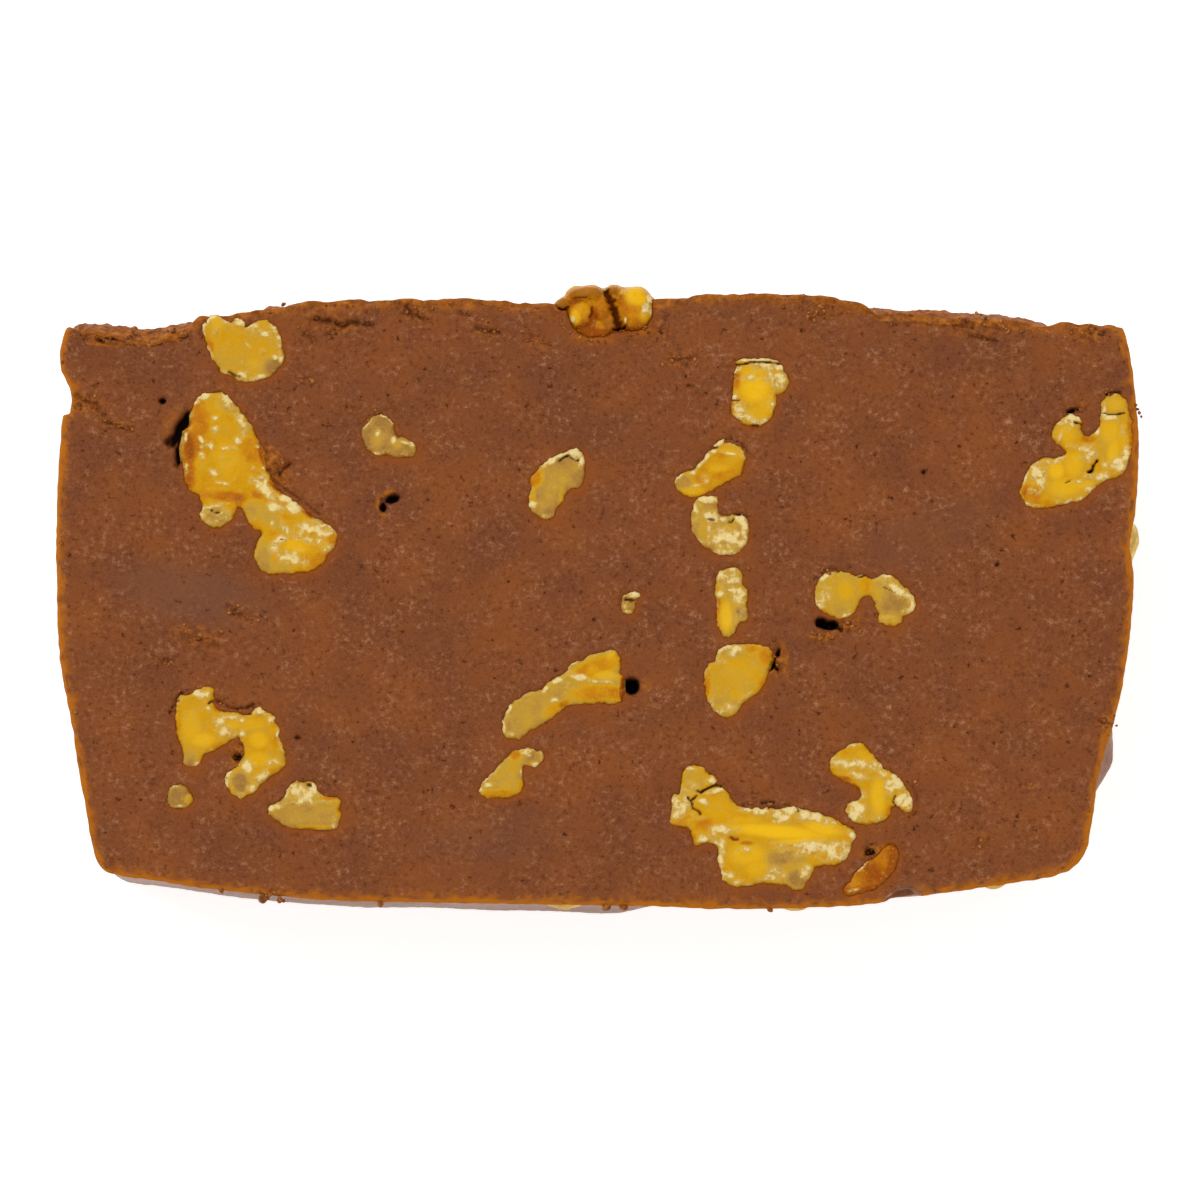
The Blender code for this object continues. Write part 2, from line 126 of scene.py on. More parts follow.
def pickOnly(*objs):
    if bpy.context.object and bpy.context.object.mode != "OBJECT":
        bpy.ops.object.mode_set(mode="OBJECT")
    bpy.ops.object.select_all(action="DESELECT")
    for obj in objs:
        obj.select_set(True)
    if objs:
        bpy.context.view_layer.objects.active = objs[0]


def applyModifier(obj, kind, settings):
    pickOnly(obj)
    modifier = obj.modifiers.new(kind.title(), kind)
    for name, value in settings.items():
        setattr(modifier, name, value)
    bpy.ops.object.modifier_apply(modifier=modifier.name)


def turnOutward(obj):
    pickOnly(obj)
    bpy.ops.object.mode_set(mode="EDIT")
    bpy.ops.mesh.select_all(action="SELECT")
    bpy.ops.mesh.normals_make_consistent(inside=False)
    bpy.ops.object.mode_set(mode="OBJECT")


def outwardOf(points, reach, length=1.0):
    # the way out at each point of a closed outline that runs clockwise
    along = np.roll(points, -reach, axis=0) - np.roll(points, reach, axis=0)
    outward = np.stack([-along[:, 1], along[:, 0]], axis=1)
    return length * outward / np.linalg.norm(outward, axis=1)[:, None]


def settle(obj):
    # millimetres on the photograph become metres in the frame
    pickOnly(obj)
    obj.scale = (0.001, 0.001, 0.001)
    obj.location = (-slab["middle"][0] * 0.001, -slab["middle"][1] * 0.001, 0.0)
    bpy.ops.object.transform_apply(location=True, rotation=True, scale=True)
    bpy.ops.object.shade_smooth()


def hexColour(text):
    channels = [int(text[place:place + 2], 16) / 255.0 for place in (1, 3, 5)]
    return [c / 12.92 if c <= 0.04045 else ((c + 0.055) / 1.055) ** 2.4 for c in channels] + [1.0]


def addNode(tree, kind, settings=None, links=None):
    made = tree.nodes.new(kind)
    for name, value in (settings or {}).items():
        if isinstance(name, int) or name in made.inputs:
            made.inputs[name].default_value = value
        else:
            setattr(made, name, value)
    for name, socket in (links or {}).items():
        tree.links.new(socket, made.inputs[name])
    return made


# Walnut pieces that show on the front face, each with its outline there, clockwise in millimetres.
# A patch is x, y, half length, half width, turn and strength. Toned patches shift the colour along tan,
# olive, amber and orange, bright ones turn it clear yellow, and flakes break the surface into dry cream
# flakes. Cuts are thin cracks, sunk and darkened with painted shade: their points, then half width and
# depth. The last two pieces lie open in their pockets. Forms are rounded lobes, skin says where brown skin
# is left, and roll, level and the strength of the painted highlight along the lit edge change those values of
# nutShape.
cutNuts = {
    "walnut_upper_left": {
        "outline": [
            (-36.9, 25.0), (-36.8, 25.5), (-36.5, 26.0), (-36.1, 26.35), (-35.6, 26.45), (-35.1, 26.2),
            (-34.7, 25.9), (-34.4, 25.9), (-33.9, 26.15), (-33.2, 26.1), (-32.85, 25.9), (-32.85, 25.5),
            (-32.4, 25.7), (-32.0, 26.05), (-31.5, 26.2), (-30.95, 26.15), (-30.5, 25.75), (-30.05, 25.5),
            (-29.85, 25.1), (-29.6, 24.5), (-29.45, 23.9), (-29.5, 23.4), (-29.3, 22.9), (-29.3, 22.3),
            (-29.5, 21.8), (-29.9, 21.4), (-30.3, 20.9), (-30.9, 20.6), (-31.6, 20.35), (-32.3, 20.15),
            (-33.0, 20.15), (-33.6, 20.35), (-34.0, 20.7), (-34.7, 20.9), (-35.2, 21.1), (-35.4, 21.6),
            (-35.8, 21.9), (-36.1, 22.5), (-36.3, 23.0), (-36.5, 23.5), (-36.6, 24.1), (-36.75, 24.6)],
        "tone": 0.40,
        "toned": [
            (-36.2, 23.7, 0.35, 1.1, 15, 0.32), (-30.3, 21.7, 1.0, 0.9, 0, -0.34),
            (-34.8, 22.3, 1.1, 0.8, 0, -0.10), (-31.3, 25.8, 0.7, 0.5, 0, 0.06),
            (-34.3, 24.4, 1.0, 0.6, 0, 0.10)],
        "bright": [(-35.6, 25.8, 0.8, 0.6, -20, 0.35), (-32.0, 22.0, 0.8, 0.5, 0, 0.15)],
        "flakes": [
            (-36.75, 25.2, 0.22, 0.8, -12, 0.95), (-36.2, 26.1, 0.6, 0.25, 40, 0.8),
            (-35.6, 25.0, 0.3, 0.4, -30, 0.8), (-33.7, 25.8, 0.9, 0.35, -5, 1.0),
            (-32.4, 25.15, 0.6, 0.4, 20, 0.8), (-31.3, 24.85, 0.6, 0.32, -10, 0.9),
            (-30.4, 25.0, 0.5, 0.5, 0, 0.85), (-29.75, 24.0, 0.22, 0.8, 10, 0.65),
            (-29.6, 22.5, 0.25, 0.7, 0, 0.6), (-32.6, 23.6, 0.4, 0.1, -45, 0.85),
            (-31.2, 23.1, 0.35, 0.22, 10, 0.8), (-30.2, 22.5, 0.28, 0.2, 0, 0.75),
            (-33.15, 21.8, 0.1, 0.4, 10, 0.65), (-33.1, 20.9, 0.5, 0.35, 0, 0.9),
            (-32.0, 20.65, 1.2, 0.3, 5, 0.7), (-34.8, 21.15, 0.3, 0.2, 0, 0.65),
            (-36.2, 22.8, 0.15, 0.6, 20, 0.7)],
        "cuts": [
            ([(-32.9, 25.45), (-32.5, 25.75), (-32.2, 26.0)], 0.1, 0.5),
            ([(-34.5, 21.2), (-33.9, 20.9), (-33.4, 20.7)], 0.1, 0.3)],
    },
    "walnut_long": {
        "outline": [
            (-37.9, 17.9), (-37.6, 18.35), (-37.2, 18.9), (-36.8, 19.2), (-36.0, 19.25), (-35.1, 19.4),
            (-34.6, 19.0), (-34.1, 18.5), (-33.6, 18.0), (-33.2, 17.4), (-32.8, 16.8), (-32.2, 16.2),
            (-32.0, 15.5), (-31.7, 14.9), (-31.4, 14.4), (-31.1, 13.7), (-30.95, 12.9), (-30.9, 12.1),
            (-30.5, 11.2), (-30.0, 10.5), (-29.4, 9.9), (-28.6, 9.4), (-27.9, 8.9), (-27.4, 8.4),
            (-26.8, 7.8), (-26.2, 7.5), (-25.6, 7.25), (-25.0, 6.95), (-24.5, 6.5), (-24.3, 5.9),
            (-24.4, 5.2), (-24.8, 4.6), (-25.2, 4.1), (-25.5, 3.5), (-26.0, 3.0), (-27.0, 2.5),
            (-28.5, 2.35), (-29.6, 2.35), (-30.6, 2.35), (-31.3, 2.65), (-31.8, 3.2), (-32.1, 4.0),
            (-32.0, 4.8), (-31.8, 5.5), (-31.4, 6.0), (-31.5, 6.3), (-32.1, 6.6), (-32.6, 7.2),
            (-33.0, 7.9), (-33.3, 8.5), (-33.55, 8.6), (-33.8, 7.9), (-34.1, 7.4), (-34.6, 6.9),
            (-35.2, 6.6), (-35.8, 6.6), (-36.4, 6.9), (-36.9, 7.4), (-37.2, 8.0), (-36.9, 8.5),
            (-37.0, 9.2), (-37.3, 9.7), (-37.9, 10.0), (-38.3, 10.6), (-38.6, 11.4), (-38.7, 12.4),
            (-38.8, 13.3), (-38.9, 14.2), (-38.7, 15.0), (-38.6, 15.6), (-38.15, 15.9), (-37.95, 16.3),
            (-37.95, 17.1)],
        "tone": 0.52,
        "toned": [
            (-37.4, 16.0, 0.9, 2.6, -8, 0.26), (-38.2, 12.6, 0.6, 3.0, 3, 0.32),
            (-32.3, 13.7, 0.7, 1.5, 12, 0.14), (-34.6, 9.6, 2.2, 0.45, -4, 0.28),
            (-34.6, 18.3, 1.2, 0.8, -40, -0.34), (-33.0, 16.4, 0.7, 1.2, 32, -0.30),
            (-31.4, 13.6, 0.25, 1.2, 12, 0.40), (-33.4, 9.2, 0.5, 0.5, 0, 0.24),
            (-31.0, 7.9, 2.4, 0.8, -35, -0.18), (-32.6, 7.9, 0.7, 0.8, 30, -0.24),
            (-35.6, 7.7, 1.3, 1.0, 0, -0.40), (-31.2, 4.0, 0.8, 1.4, 0, -0.34),
            (-29.8, 2.9, 1.6, 0.5, 0, -0.22), (-31.8, 9.7, 0.5, 0.3, -20, 0.26),
            (-26.0, 3.7, 1.0, 0.6, 40, 0.16), (-24.8, 5.4, 0.35, 1.2, 0, 0.18),
            (-29.6, 10.0, 2.6, 0.25, -40, 0.40), (-26.7, 7.7, 1.6, 0.22, -32, 0.40),
            (-34.8, 13.2, 1.6, 2.2, 0, -0.04)],
        "bright": [
            (-34.6, 13.2, 1.0, 1.6, 10, 0.25), (-28.0, 5.0, 1.3, 0.7, -5, 0.55),
            (-35.3, 18.0, 0.5, 1.0, 0, 0.15)],
        "flakes": [
            (-37.2, 18.6, 0.6, 0.3, 35, 1.0), (-36.7, 18.9, 0.5, 0.25, 0, 0.8),
            (-34.6, 18.5, 0.8, 0.45, -42, 0.72), (-33.2, 16.6, 0.45, 0.8, 35, 0.72),
            (-32.9, 15.5, 0.4, 0.5, 0, 0.6), (-35.65, 16.9, 0.35, 0.2, -10, 0.95),
            (-35.65, 15.75, 0.35, 0.32, -20, 1.0), (-37.0, 14.9, 0.55, 0.2, -55, 0.85),
            (-36.6, 14.3, 0.5, 0.2, 15, 0.85), (-36.0, 14.35, 0.22, 0.35, 0, 0.85),
            (-34.5, 14.05, 0.6, 0.2, 0, 0.9), (-33.6, 14.75, 0.4, 0.32, 30, 0.95),
            (-34.7, 13.2, 0.4, 0.1, 0, 0.7), (-35.9, 11.8, 0.45, 0.32, -20, 0.85),
            (-35.0, 10.8, 0.7, 0.15, -5, 0.7), (-36.9, 13.4, 0.3, 0.3, 0, 0.6),
            (-31.8, 14.2, 0.25, 0.15, -30, 0.9), (-31.2, 12.2, 0.2, 0.2, 0, 0.8),
            (-32.0, 11.9, 0.5, 0.25, -60, 0.8), (-31.5, 10.9, 0.8, 0.7, -45, 0.85),
            (-30.7, 10.0, 1.0, 0.45, -42, 0.9), (-29.2, 9.35, 1.0, 0.3, -20, 1.0),
            (-28.4, 8.7, 0.75, 0.5, -45, 1.05), (-30.1, 8.6, 0.7, 0.5, -25, 0.95),
            (-26.3, 6.5, 1.4, 0.7, -8, 0.85), (-27.2, 5.7, 1.4, 0.4, -15, 0.8),
            (-29.2, 6.4, 0.35, 0.75, 25, 0.85), (-29.6, 5.5, 0.8, 0.4, 25, 0.8),
            (-28.4, 3.9, 1.3, 0.65, -8, 0.85), (-30.3, 6.9, 0.3, 0.4, 0, 0.7),
            (-30.2, 4.6, 0.5, 0.4, 0, 0.6), (-35.6, 8.7, 1.0, 0.2, 10, 0.75),
            (-36.1, 7.6, 0.9, 0.5, -10, 0.72), (-34.7, 7.9, 0.4, 0.6, 20, 0.65),
            (-38.4, 15.2, 0.15, 0.35, 0, 0.9), (-38.3, 12.2, 0.15, 0.6, 0, 0.6),
            (-25.2, 4.7, 0.7, 0.3, 20, 0.6)],
        "cuts": [
            ([(-36.0, 8.3), (-35.7, 8.05), (-35.3, 8.1)], 0.1, 0.2),
            ([(-29.6, 5.6), (-29.1, 5.5)], 0.07, 0.15)],
    },
    "walnut_bean_tan": {
        "outline": [
            (-22.0, 16.05), (-21.6, 16.25), (-21.4, 16.7), (-21.15, 17.1), (-20.7, 17.15), (-20.35, 17.25),
            (-20.0, 17.1), (-19.5, 16.8), (-19.1, 16.35), (-19.05, 15.9), (-18.95, 15.4), (-18.75, 15.1),
            (-18.4, 15.1), (-18.0, 15.0), (-17.5, 14.75), (-17.15, 14.4), (-16.95, 13.9), (-17.0, 13.5),
            (-17.3, 13.3), (-17.9, 13.2), (-18.6, 13.15), (-19.1, 13.15), (-19.5, 13.35), (-19.85, 13.45),
            (-20.3, 13.3), (-20.8, 13.4), (-21.2, 13.65), (-21.6, 13.95), (-21.9, 14.5), (-22.1, 15.1),
            (-22.15, 15.7)],
        "tone": 0.04,
        "toned": [
            (-20.7, 14.8, 0.6, 0.9, 0, 0.14), (-18.7, 14.5, 0.6, 0.4, 0, 0.12),
            (-21.5, 15.4, 0.5, 0.7, 0, -0.05)],
        "bright": [],
        "flakes": [
            (-20.6, 13.6, 0.8, 0.16, 8, 0.9), (-21.6, 16.4, 0.6, 0.14, 48, 0.8),
            (-20.2, 17.1, 0.9, 0.12, -12, 0.75), (-19.3, 16.6, 0.4, 0.1, -40, 0.8),
            (-19.2, 15.0, 0.3, 0.4, 0, 0.65), (-18.2, 14.6, 0.4, 0.14, -10, 0.85),
            (-17.4, 14.4, 0.3, 0.3, -40, 0.6), (-20.6, 15.5, 0.25, 0.4, 0, 0.5),
            (-17.6, 13.5, 0.7, 0.2, 0, 0.55)],
        "cuts": [],
    },
    "walnut_bean_pale": {
        "outline": [
            (-6.5, 11.4), (-6.0, 11.9), (-5.6, 12.3), (-5.2, 12.7), (-4.6, 13.2), (-4.0, 13.5),
            (-3.5, 13.65), (-3.0, 13.85), (-2.7, 13.95), (-2.3, 14.1), (-1.9, 13.95), (-1.55, 13.5),
            (-1.4, 13.0), (-1.3, 12.4), (-1.35, 11.7), (-1.5, 11.1), (-1.7, 10.5), (-2.1, 10.25),
            (-2.7, 10.25), (-3.1, 10.0), (-3.25, 9.5), (-3.4, 9.0), (-3.9, 8.6), (-4.1, 8.1), (-4.2, 7.6),
            (-4.8, 7.4), (-5.5, 7.5), (-6.1, 7.9), (-6.5, 8.4), (-6.65, 9.0), (-6.6, 9.6), (-6.4, 10.3),
            (-6.5, 10.9)],
        "tone": 0.14,
        "toned": [
            (-5.9, 11.2, 0.6, 0.8, -30, 0.5), (-1.9, 11.2, 0.6, 1.0, 0, -0.16),
            (-5.4, 8.0, 1.0, 0.6, 0, -0.12), (-3.9, 11.2, 1.0, 0.8, 30, 0.10),
            (-6.4, 9.8, 0.4, 1.0, 0, 0.4), (-3.5, 9.6, 0.3, 0.8, 0, 0.3)],
        "bright": [],
        "flakes": [
            (-4.4, 13.05, 0.95, 0.25, 30, 1.05), (-3.4, 13.5, 0.55, 0.2, 25, 1.1),
            (-2.3, 13.5, 0.6, 0.48, -10, 1.15), (-1.7, 12.8, 0.28, 0.6, -10, 0.85),
            (-6.2, 8.85, 0.42, 0.25, -10, 0.95), (-5.0, 12.4, 0.6, 0.15, 25, 0.7),
            (-5.0, 7.7, 0.4, 0.2, 0, 0.5), (-4.2, 10.3, 0.2, 0.12, 0, 0.6)],
        "cuts": [
            ([(-3.75, 12.95), (-3.3, 13.22), (-2.9, 13.38)], 0.12, 0.35),
            ([(-2.8, 13.2), (-2.3, 12.95), (-2.0, 12.95)], 0.1, 0.25)],
    },
    "walnut_upper_right": {
        "outline": [
            (12.3, 22.1), (12.8, 22.35), (13.5, 22.5), (14.1, 22.35), (15.0, 22.5), (16.0, 22.4),
            (16.6, 22.15), (17.05, 21.6), (17.0, 21.3), (17.35, 20.95), (17.6, 20.4), (17.5, 19.85),
            (17.1, 19.3), (16.7, 19.05), (16.3, 19.05), (16.45, 18.5), (16.3, 17.8), (16.05, 17.1),
            (15.7, 16.6), (15.2, 16.25), (14.8, 16.05), (14.3, 16.2), (13.7, 16.1), (13.2, 16.4),
            (12.8, 16.8), (12.3, 16.95), (12.15, 17.5), (12.2, 18.4), (12.3, 19.3), (12.35, 20.2),
            (12.4, 21.1), (12.6, 21.6), (12.65, 21.9)],
        "tone": 0.46,
        "toned": [
            (12.65, 20.5, 0.4, 0.9, 0, 0.34), (12.35, 18.2, 0.2, 0.7, 0, 0.3),
            (16.7, 20.2, 0.8, 0.7, -20, -0.34), (15.7, 18.3, 0.6, 0.8, 0, 0.02)],
        "bright": [
            (14.4, 19.6, 1.3, 1.2, 0, 0.85), (15.4, 18.3, 0.8, 1.0, 0, 0.4), (14.2, 21.2, 1.2, 0.4, 0, 0.5),
            (14.6, 17.3, 1.0, 0.6, 0, 0.3)],
        "flakes": [
            (14.5, 22.35, 2.3, 0.2, 0, 1.0), (15.3, 21.7, 1.4, 0.45, 0, 0.9),
            (16.7, 21.6, 0.4, 0.25, -20, 1.0), (12.75, 21.35, 0.4, 0.25, 20, 0.85),
            (12.5, 18.9, 0.4, 0.28, 0, 0.9), (13.1, 17.7, 0.6, 0.65, -20, 0.85),
            (13.5, 16.85, 1.0, 0.35, -10, 0.65), (16.4, 20.5, 1.1, 0.7, -20, 0.7),
            (16.0, 18.5, 0.25, 0.8, 0, 0.65), (14.9, 16.6, 0.9, 0.28, 10, 0.65),
            (14.6, 20.6, 1.3, 0.3, 0, 0.6)],
        "cuts": [
            ([(12.65, 21.85), (13.3, 21.9), (14.0, 22.1), (15.2, 22.1), (16.6, 21.95)], 0.09, 0.35),
            ([(12.3, 18.55), (12.8, 18.5), (13.1, 18.6)], 0.07, 0.2),
            ([(14.1, 16.15), (14.6, 16.15)], 0.14, 0.5)],
    },
    "walnut_bean_amber": {
        "outline": [
            (6.85, 10.9), (7.0, 11.2), (7.3, 11.6), (7.8, 11.95), (8.4, 11.95), (8.8, 12.2), (9.1, 12.7),
            (9.5, 13.0), (9.7, 13.5), (10.1, 13.9), (10.7, 14.1), (10.5, 14.4), (11.0, 14.9), (11.5, 14.95),
            (11.6, 14.65), (12.1, 14.6), (12.6, 14.5), (13.1, 14.2), (13.4, 13.8), (13.55, 13.3),
            (13.5, 12.6), (13.3, 12.0), (13.0, 11.5), (12.4, 11.2), (11.7, 10.9), (11.1, 10.5),
            (10.4, 10.1), (9.7, 9.8), (8.9, 9.5), (8.2, 9.5), (7.6, 9.8), (7.1, 10.2), (6.9, 10.6)],
        "tone": 0.56,
        "toned": [
            (7.7, 10.9, 0.9, 0.8, 0, -0.48), (12.2, 13.9, 1.3, 0.5, -18, -0.22),
            (8.7, 10.0, 1.2, 0.35, 0, -0.06), (10.8, 13.2, 0.8, 0.5, 20, 0.12),
            (11.6, 11.6, 1.2, 0.4, 20, 0.10), (8.9, 11.3, 0.6, 0.5, 0, 0.14)],
        "bright": [
            (8.6, 10.1, 1.2, 0.4, 0, 0.35), (11.0, 12.2, 0.9, 0.35, 0, 0.3),
            (12.1, 13.7, 1.0, 0.4, -15, 0.3)],
        "flakes": [
            (11.1, 14.6, 0.6, 0.3, 30, 1.0), (10.55, 13.75, 0.22, 0.15, 0, 1.0),
            (10.0, 13.35, 0.5, 0.2, 50, 0.85), (9.2, 12.4, 0.7, 0.2, 50, 0.85),
            (8.6, 11.75, 0.3, 0.25, 0, 0.75), (7.3, 11.4, 0.7, 0.18, 45, 0.85),
            (12.0, 13.6, 0.9, 0.12, -12, 0.75), (13.1, 13.7, 0.25, 0.6, 20, 0.65),
            (9.6, 11.2, 0.45, 0.4, 0, 0.6), (8.9, 10.6, 0.4, 0.2, 0, 0.5)],
        "cuts": [([(10.5, 14.1), (10.9, 14.15)], 0.08, 0.3)],
    },
    "walnut_curl": {
        "outline": [
            (8.7, 8.9), (9.0, 9.4), (9.5, 9.6), (10.2, 9.6), (10.9, 9.6), (11.05, 9.1), (10.85, 8.6),
            (11.0, 8.1), (11.5, 7.8), (12.1, 7.85), (12.4, 8.2), (12.8, 7.95), (13.2, 8.0), (13.6, 7.5),
            (13.9, 7.0), (13.85, 6.3), (13.7, 5.5), (13.4, 4.9), (12.9, 4.4), (12.3, 4.1), (11.4, 4.1),
            (10.6, 4.3), (9.9, 4.7), (9.3, 5.2), (8.8, 5.8), (8.5, 6.5), (8.4, 7.4), (8.5, 8.2)],
        "tone": 0.16,
        "toned": [
            (9.5, 7.0, 0.5, 1.2, 0, 0.08), (11.9, 6.8, 0.9, 0.4, 0, 0.06), (11.9, 4.8, 0.8, 0.3, 0, 0.12)],
        "bright": [],
        "flakes": [
            (10.0, 9.3, 1.0, 0.3, 0, 0.95), (8.95, 8.4, 0.3, 0.8, -10, 0.65),
            (10.4, 7.6, 0.75, 0.5, -25, 0.98), (11.4, 7.45, 0.6, 0.2, -5, 0.9),
            (12.9, 7.5, 0.65, 0.45, -10, 1.05), (13.4, 6.6, 0.32, 1.2, 0, 0.78),
            (13.2, 5.2, 0.5, 0.5, 20, 0.85), (11.5, 5.7, 1.05, 0.75, -15, 1.0),
            (11.6, 4.4, 1.6, 0.22, 0, 0.8), (10.1, 5.9, 0.2, 0.9, 0, 0.65), (9.3, 5.5, 0.4, 0.4, -40, 0.5),
            (12.6, 5.8, 0.4, 0.6, 0, 0.8)],
        "cuts": [
            ([(11.9, 7.2), (12.2, 7.15), (12.4, 7.5)], 0.08, 0.25),
            ([(12.5, 8.0), (12.9, 7.95)], 0.14, 0.7),
            ([(10.1, 7.5), (10.6, 7.4)], 0.08, 0.2)],
    },
    "walnut_stub": {
        "outline": [
            (10.7, 1.5), (10.75, 2.2), (11.1, 2.7), (11.8, 2.95), (12.5, 3.0), (13.0, 2.7), (13.25, 2.1),
            (13.2, 1.4), (13.6, 1.0), (13.7, 0.3), (13.6, -0.5), (13.8, -1.4), (13.6, -2.0), (13.0, -2.2),
            (12.7, -2.6), (12.5, -3.2), (12.0, -3.6), (11.4, -3.4), (11.0, -2.8), (10.8, -2.0),
            (10.8, -1.0), (10.75, -0.2), (10.6, 0.6)],
        "tone": 0.34,
        "toned": [
            (10.9, -0.6, 0.3, 1.8, 0, 0.34), (13.1, -1.2, 0.6, 0.6, 0, -0.3),
            (12.0, 1.6, 1.0, 1.0, 0, -0.2)],
        "bright": [(11.7, -1.6, 0.5, 1.3, 0, 0.7)],
        "flakes": [
            (12.0, 2.1, 1.15, 0.8, 0, 0.76), (12.9, 0.4, 0.6, 0.8, 0, 0.9), (13.1, -1.3, 0.5, 0.5, 0, 0.55),
            (11.3, 0.5, 0.5, 0.35, 0, 0.72), (12.2, 0.9, 0.7, 0.3, 0, 0.7),
            (12.4, -2.2, 0.3, 0.5, 0, 0.45)],
        "cuts": [],
    },
    "walnut_middle": {
        "outline": [
            (10.7, -5.0), (11.1, -4.5), (11.8, -4.15), (12.6, -4.1), (13.3, -4.1), (14.2, -4.1),
            (15.0, -4.2), (15.6, -4.4), (15.95, -4.9), (16.0, -5.5), (15.7, -6.1), (15.6, -6.8),
            (15.5, -7.6), (15.0, -8.3), (14.3, -8.9), (13.5, -9.5), (13.0, -10.1), (12.6, -10.7),
            (11.9, -10.95), (11.2, -10.8), (10.5, -10.3), (10.0, -9.6), (9.7, -8.7), (9.6, -7.6),
            (9.7, -6.6), (10.0, -6.0), (10.6, -5.7)],
        "tone": 0.36,
        "toned": [
            (15.3, -5.2, 0.6, 1.0, 0, 0.36), (9.9, -7.6, 0.35, 1.6, 0, 0.36),
            (12.0, -4.9, 1.2, 0.5, 0, -0.2), (13.9, -4.5, 0.8, 0.4, 0, 0.3),
            (15.2, -7.9, 0.5, 0.9, -20, 0.26), (11.7, -9.8, 1.2, 0.9, 0, -0.12)],
        "bright": [(13.0, -6.8, 1.4, 1.2, 0, 0.15), (12.8, -8.8, 0.8, 0.5, 0, 0.15)],
        "flakes": [
            (12.0, -4.8, 1.2, 0.5, 5, 0.68), (11.6, -10.2, 1.0, 0.45, 10, 0.62),
            (13.4, -9.0, 0.6, 0.2, 35, 0.6), (11.2, -5.7, 0.5, 0.3, 0, 0.5),
            (10.3, -9.4, 0.3, 0.6, 0, 0.5)],
        "cuts": [],
    },
    "walnut_twin": {
        "outline": [
            (19.8, 0.5), (19.95, 1.2), (20.3, 1.9), (20.8, 2.4), (21.5, 2.6), (22.3, 2.7), (23.1, 2.6),
            (23.6, 2.3), (24.1, 2.4), (24.7, 2.3), (25.2, 2.0), (25.6, 2.1), (26.1, 2.4), (26.8, 2.4),
            (27.3, 2.1), (27.9, 1.6), (28.5, 1.0), (29.0, 0.4), (29.3, -0.3), (29.2, -0.9), (28.7, -1.3),
            (28.2, -1.6), (28.0, -2.2), (27.3, -2.5), (26.4, -2.4), (25.8, -2.0), (25.8, -1.3),
            (25.5, -0.6), (25.2, 0.1), (24.9, 0.4), (24.4, 0.2), (24.1, -0.2), (23.9, -0.8), (23.5, -1.3),
            (22.9, -1.7), (22.2, -1.9), (21.6, -1.6), (20.9, -1.3), (20.3, -0.9), (19.9, -0.3)],
        "tone": 0.32,
        "toned": [
            (22.6, 0.6, 0.9, 1.0, 0, 0.06), (27.3, -0.2, 1.4, 1.4, 0, -0.24),
            (24.5, 1.3, 0.6, 0.9, 0, 0.24), (22.6, -1.2, 0.8, 0.5, 0, -0.14),
            (20.5, -0.8, 0.5, 0.4, 0, 0.2)],
        "bright": [(22.7, 0.9, 0.7, 0.9, 0, 0.25)],
        "flakes": [
            (20.6, 0.1, 0.6, 0.9, 0, 0.82), (21.0, 2.15, 0.8, 0.25, 28, 0.9), (21.2, 0.8, 0.5, 0.3, 0, 0.6),
            (22.9, -1.4, 0.6, 0.25, 15, 0.7), (27.7, 0.8, 1.7, 0.45, -42, 0.88),
            (28.9, -0.5, 0.25, 0.7, 0, 0.75), (28.3, -1.1, 0.6, 0.25, 20, 0.7),
            (26.7, 2.2, 0.4, 0.15, 0, 0.8), (26.8, -1.9, 0.7, 0.4, 0, 0.5), (24.4, 2.2, 0.7, 0.15, 0, 0.7)],
        "cuts": [
            ([(23.4, 2.35), (24.0, 2.1), (24.6, 2.25), (25.1, 2.1)], 0.09, 0.3),
            ([(26.2, 1.2), (27.4, 0.6)], 0.05, 0.1)],
    },
    "walnut_right_hook": {
        "outline": [
            (46.5, 18.0), (46.6, 18.5), (47.0, 18.9), (47.6, 19.15), (48.3, 19.1), (48.8, 18.7),
            (49.0, 18.2), (49.2, 17.6), (49.3, 17.0), (49.35, 16.2), (49.4, 15.4), (49.45, 14.6),
            (49.35, 14.0), (49.2, 13.3), (49.0, 12.6), (48.8, 12.0), (48.3, 11.5), (47.6, 11.2),
            (46.9, 11.0), (46.4, 10.7), (45.8, 10.3), (45.3, 9.8), (44.9, 9.3), (44.3, 9.1), (43.5, 8.95),
            (42.6, 8.75), (41.7, 8.5), (40.9, 8.4), (40.1, 8.5), (39.4, 8.9), (39.0, 9.4), (38.85, 10.0),
            (39.1, 10.7), (39.35, 11.3), (39.6, 11.9), (39.9, 12.5), (40.4, 12.9), (41.0, 13.1),
            (41.6, 13.3), (42.2, 13.2), (42.9, 13.3), (43.2, 13.6), (42.9, 14.0), (42.3, 14.5),
            (41.9, 15.0), (41.8, 15.6), (42.0, 16.1), (42.4, 16.5), (42.9, 16.9), (43.5, 17.2),
            (44.1, 17.15), (44.5, 16.9), (44.75, 16.5), (44.7, 15.9), (44.85, 15.4), (45.4, 15.25),
            (45.9, 15.6), (46.2, 16.0), (46.4, 16.6), (46.45, 17.3)],
        "tone": 0.44,
        "toned": [
            (40.0, 9.6, 0.9, 0.9, 0, 0.30), (39.3, 10.4, 0.3, 0.9, 0, 0.24),
            (45.2, 15.0, 0.9, 0.4, 0, 0.30), (44.4, 15.6, 0.4, 0.8, 0, -0.20),
            (47.7, 18.3, 0.9, 0.6, 0, -0.10), (42.4, 14.3, 0.3, 0.7, -45, 0.30),
            (46.3, 12.6, 0.4, 0.4, 0, 0.14), (49.2, 16.2, 0.3, 1.6, 0, 0.24),
            (41.6, 8.9, 1.2, 0.3, 0, 0.14), (49.2, 14.0, 0.2, 0.8, 0, 0.2)],
        "bright": [
            (43.9, 12.6, 0.8, 1.2, 0, 0.45), (47.6, 13.8, 0.5, 1.2, -10, 0.6),
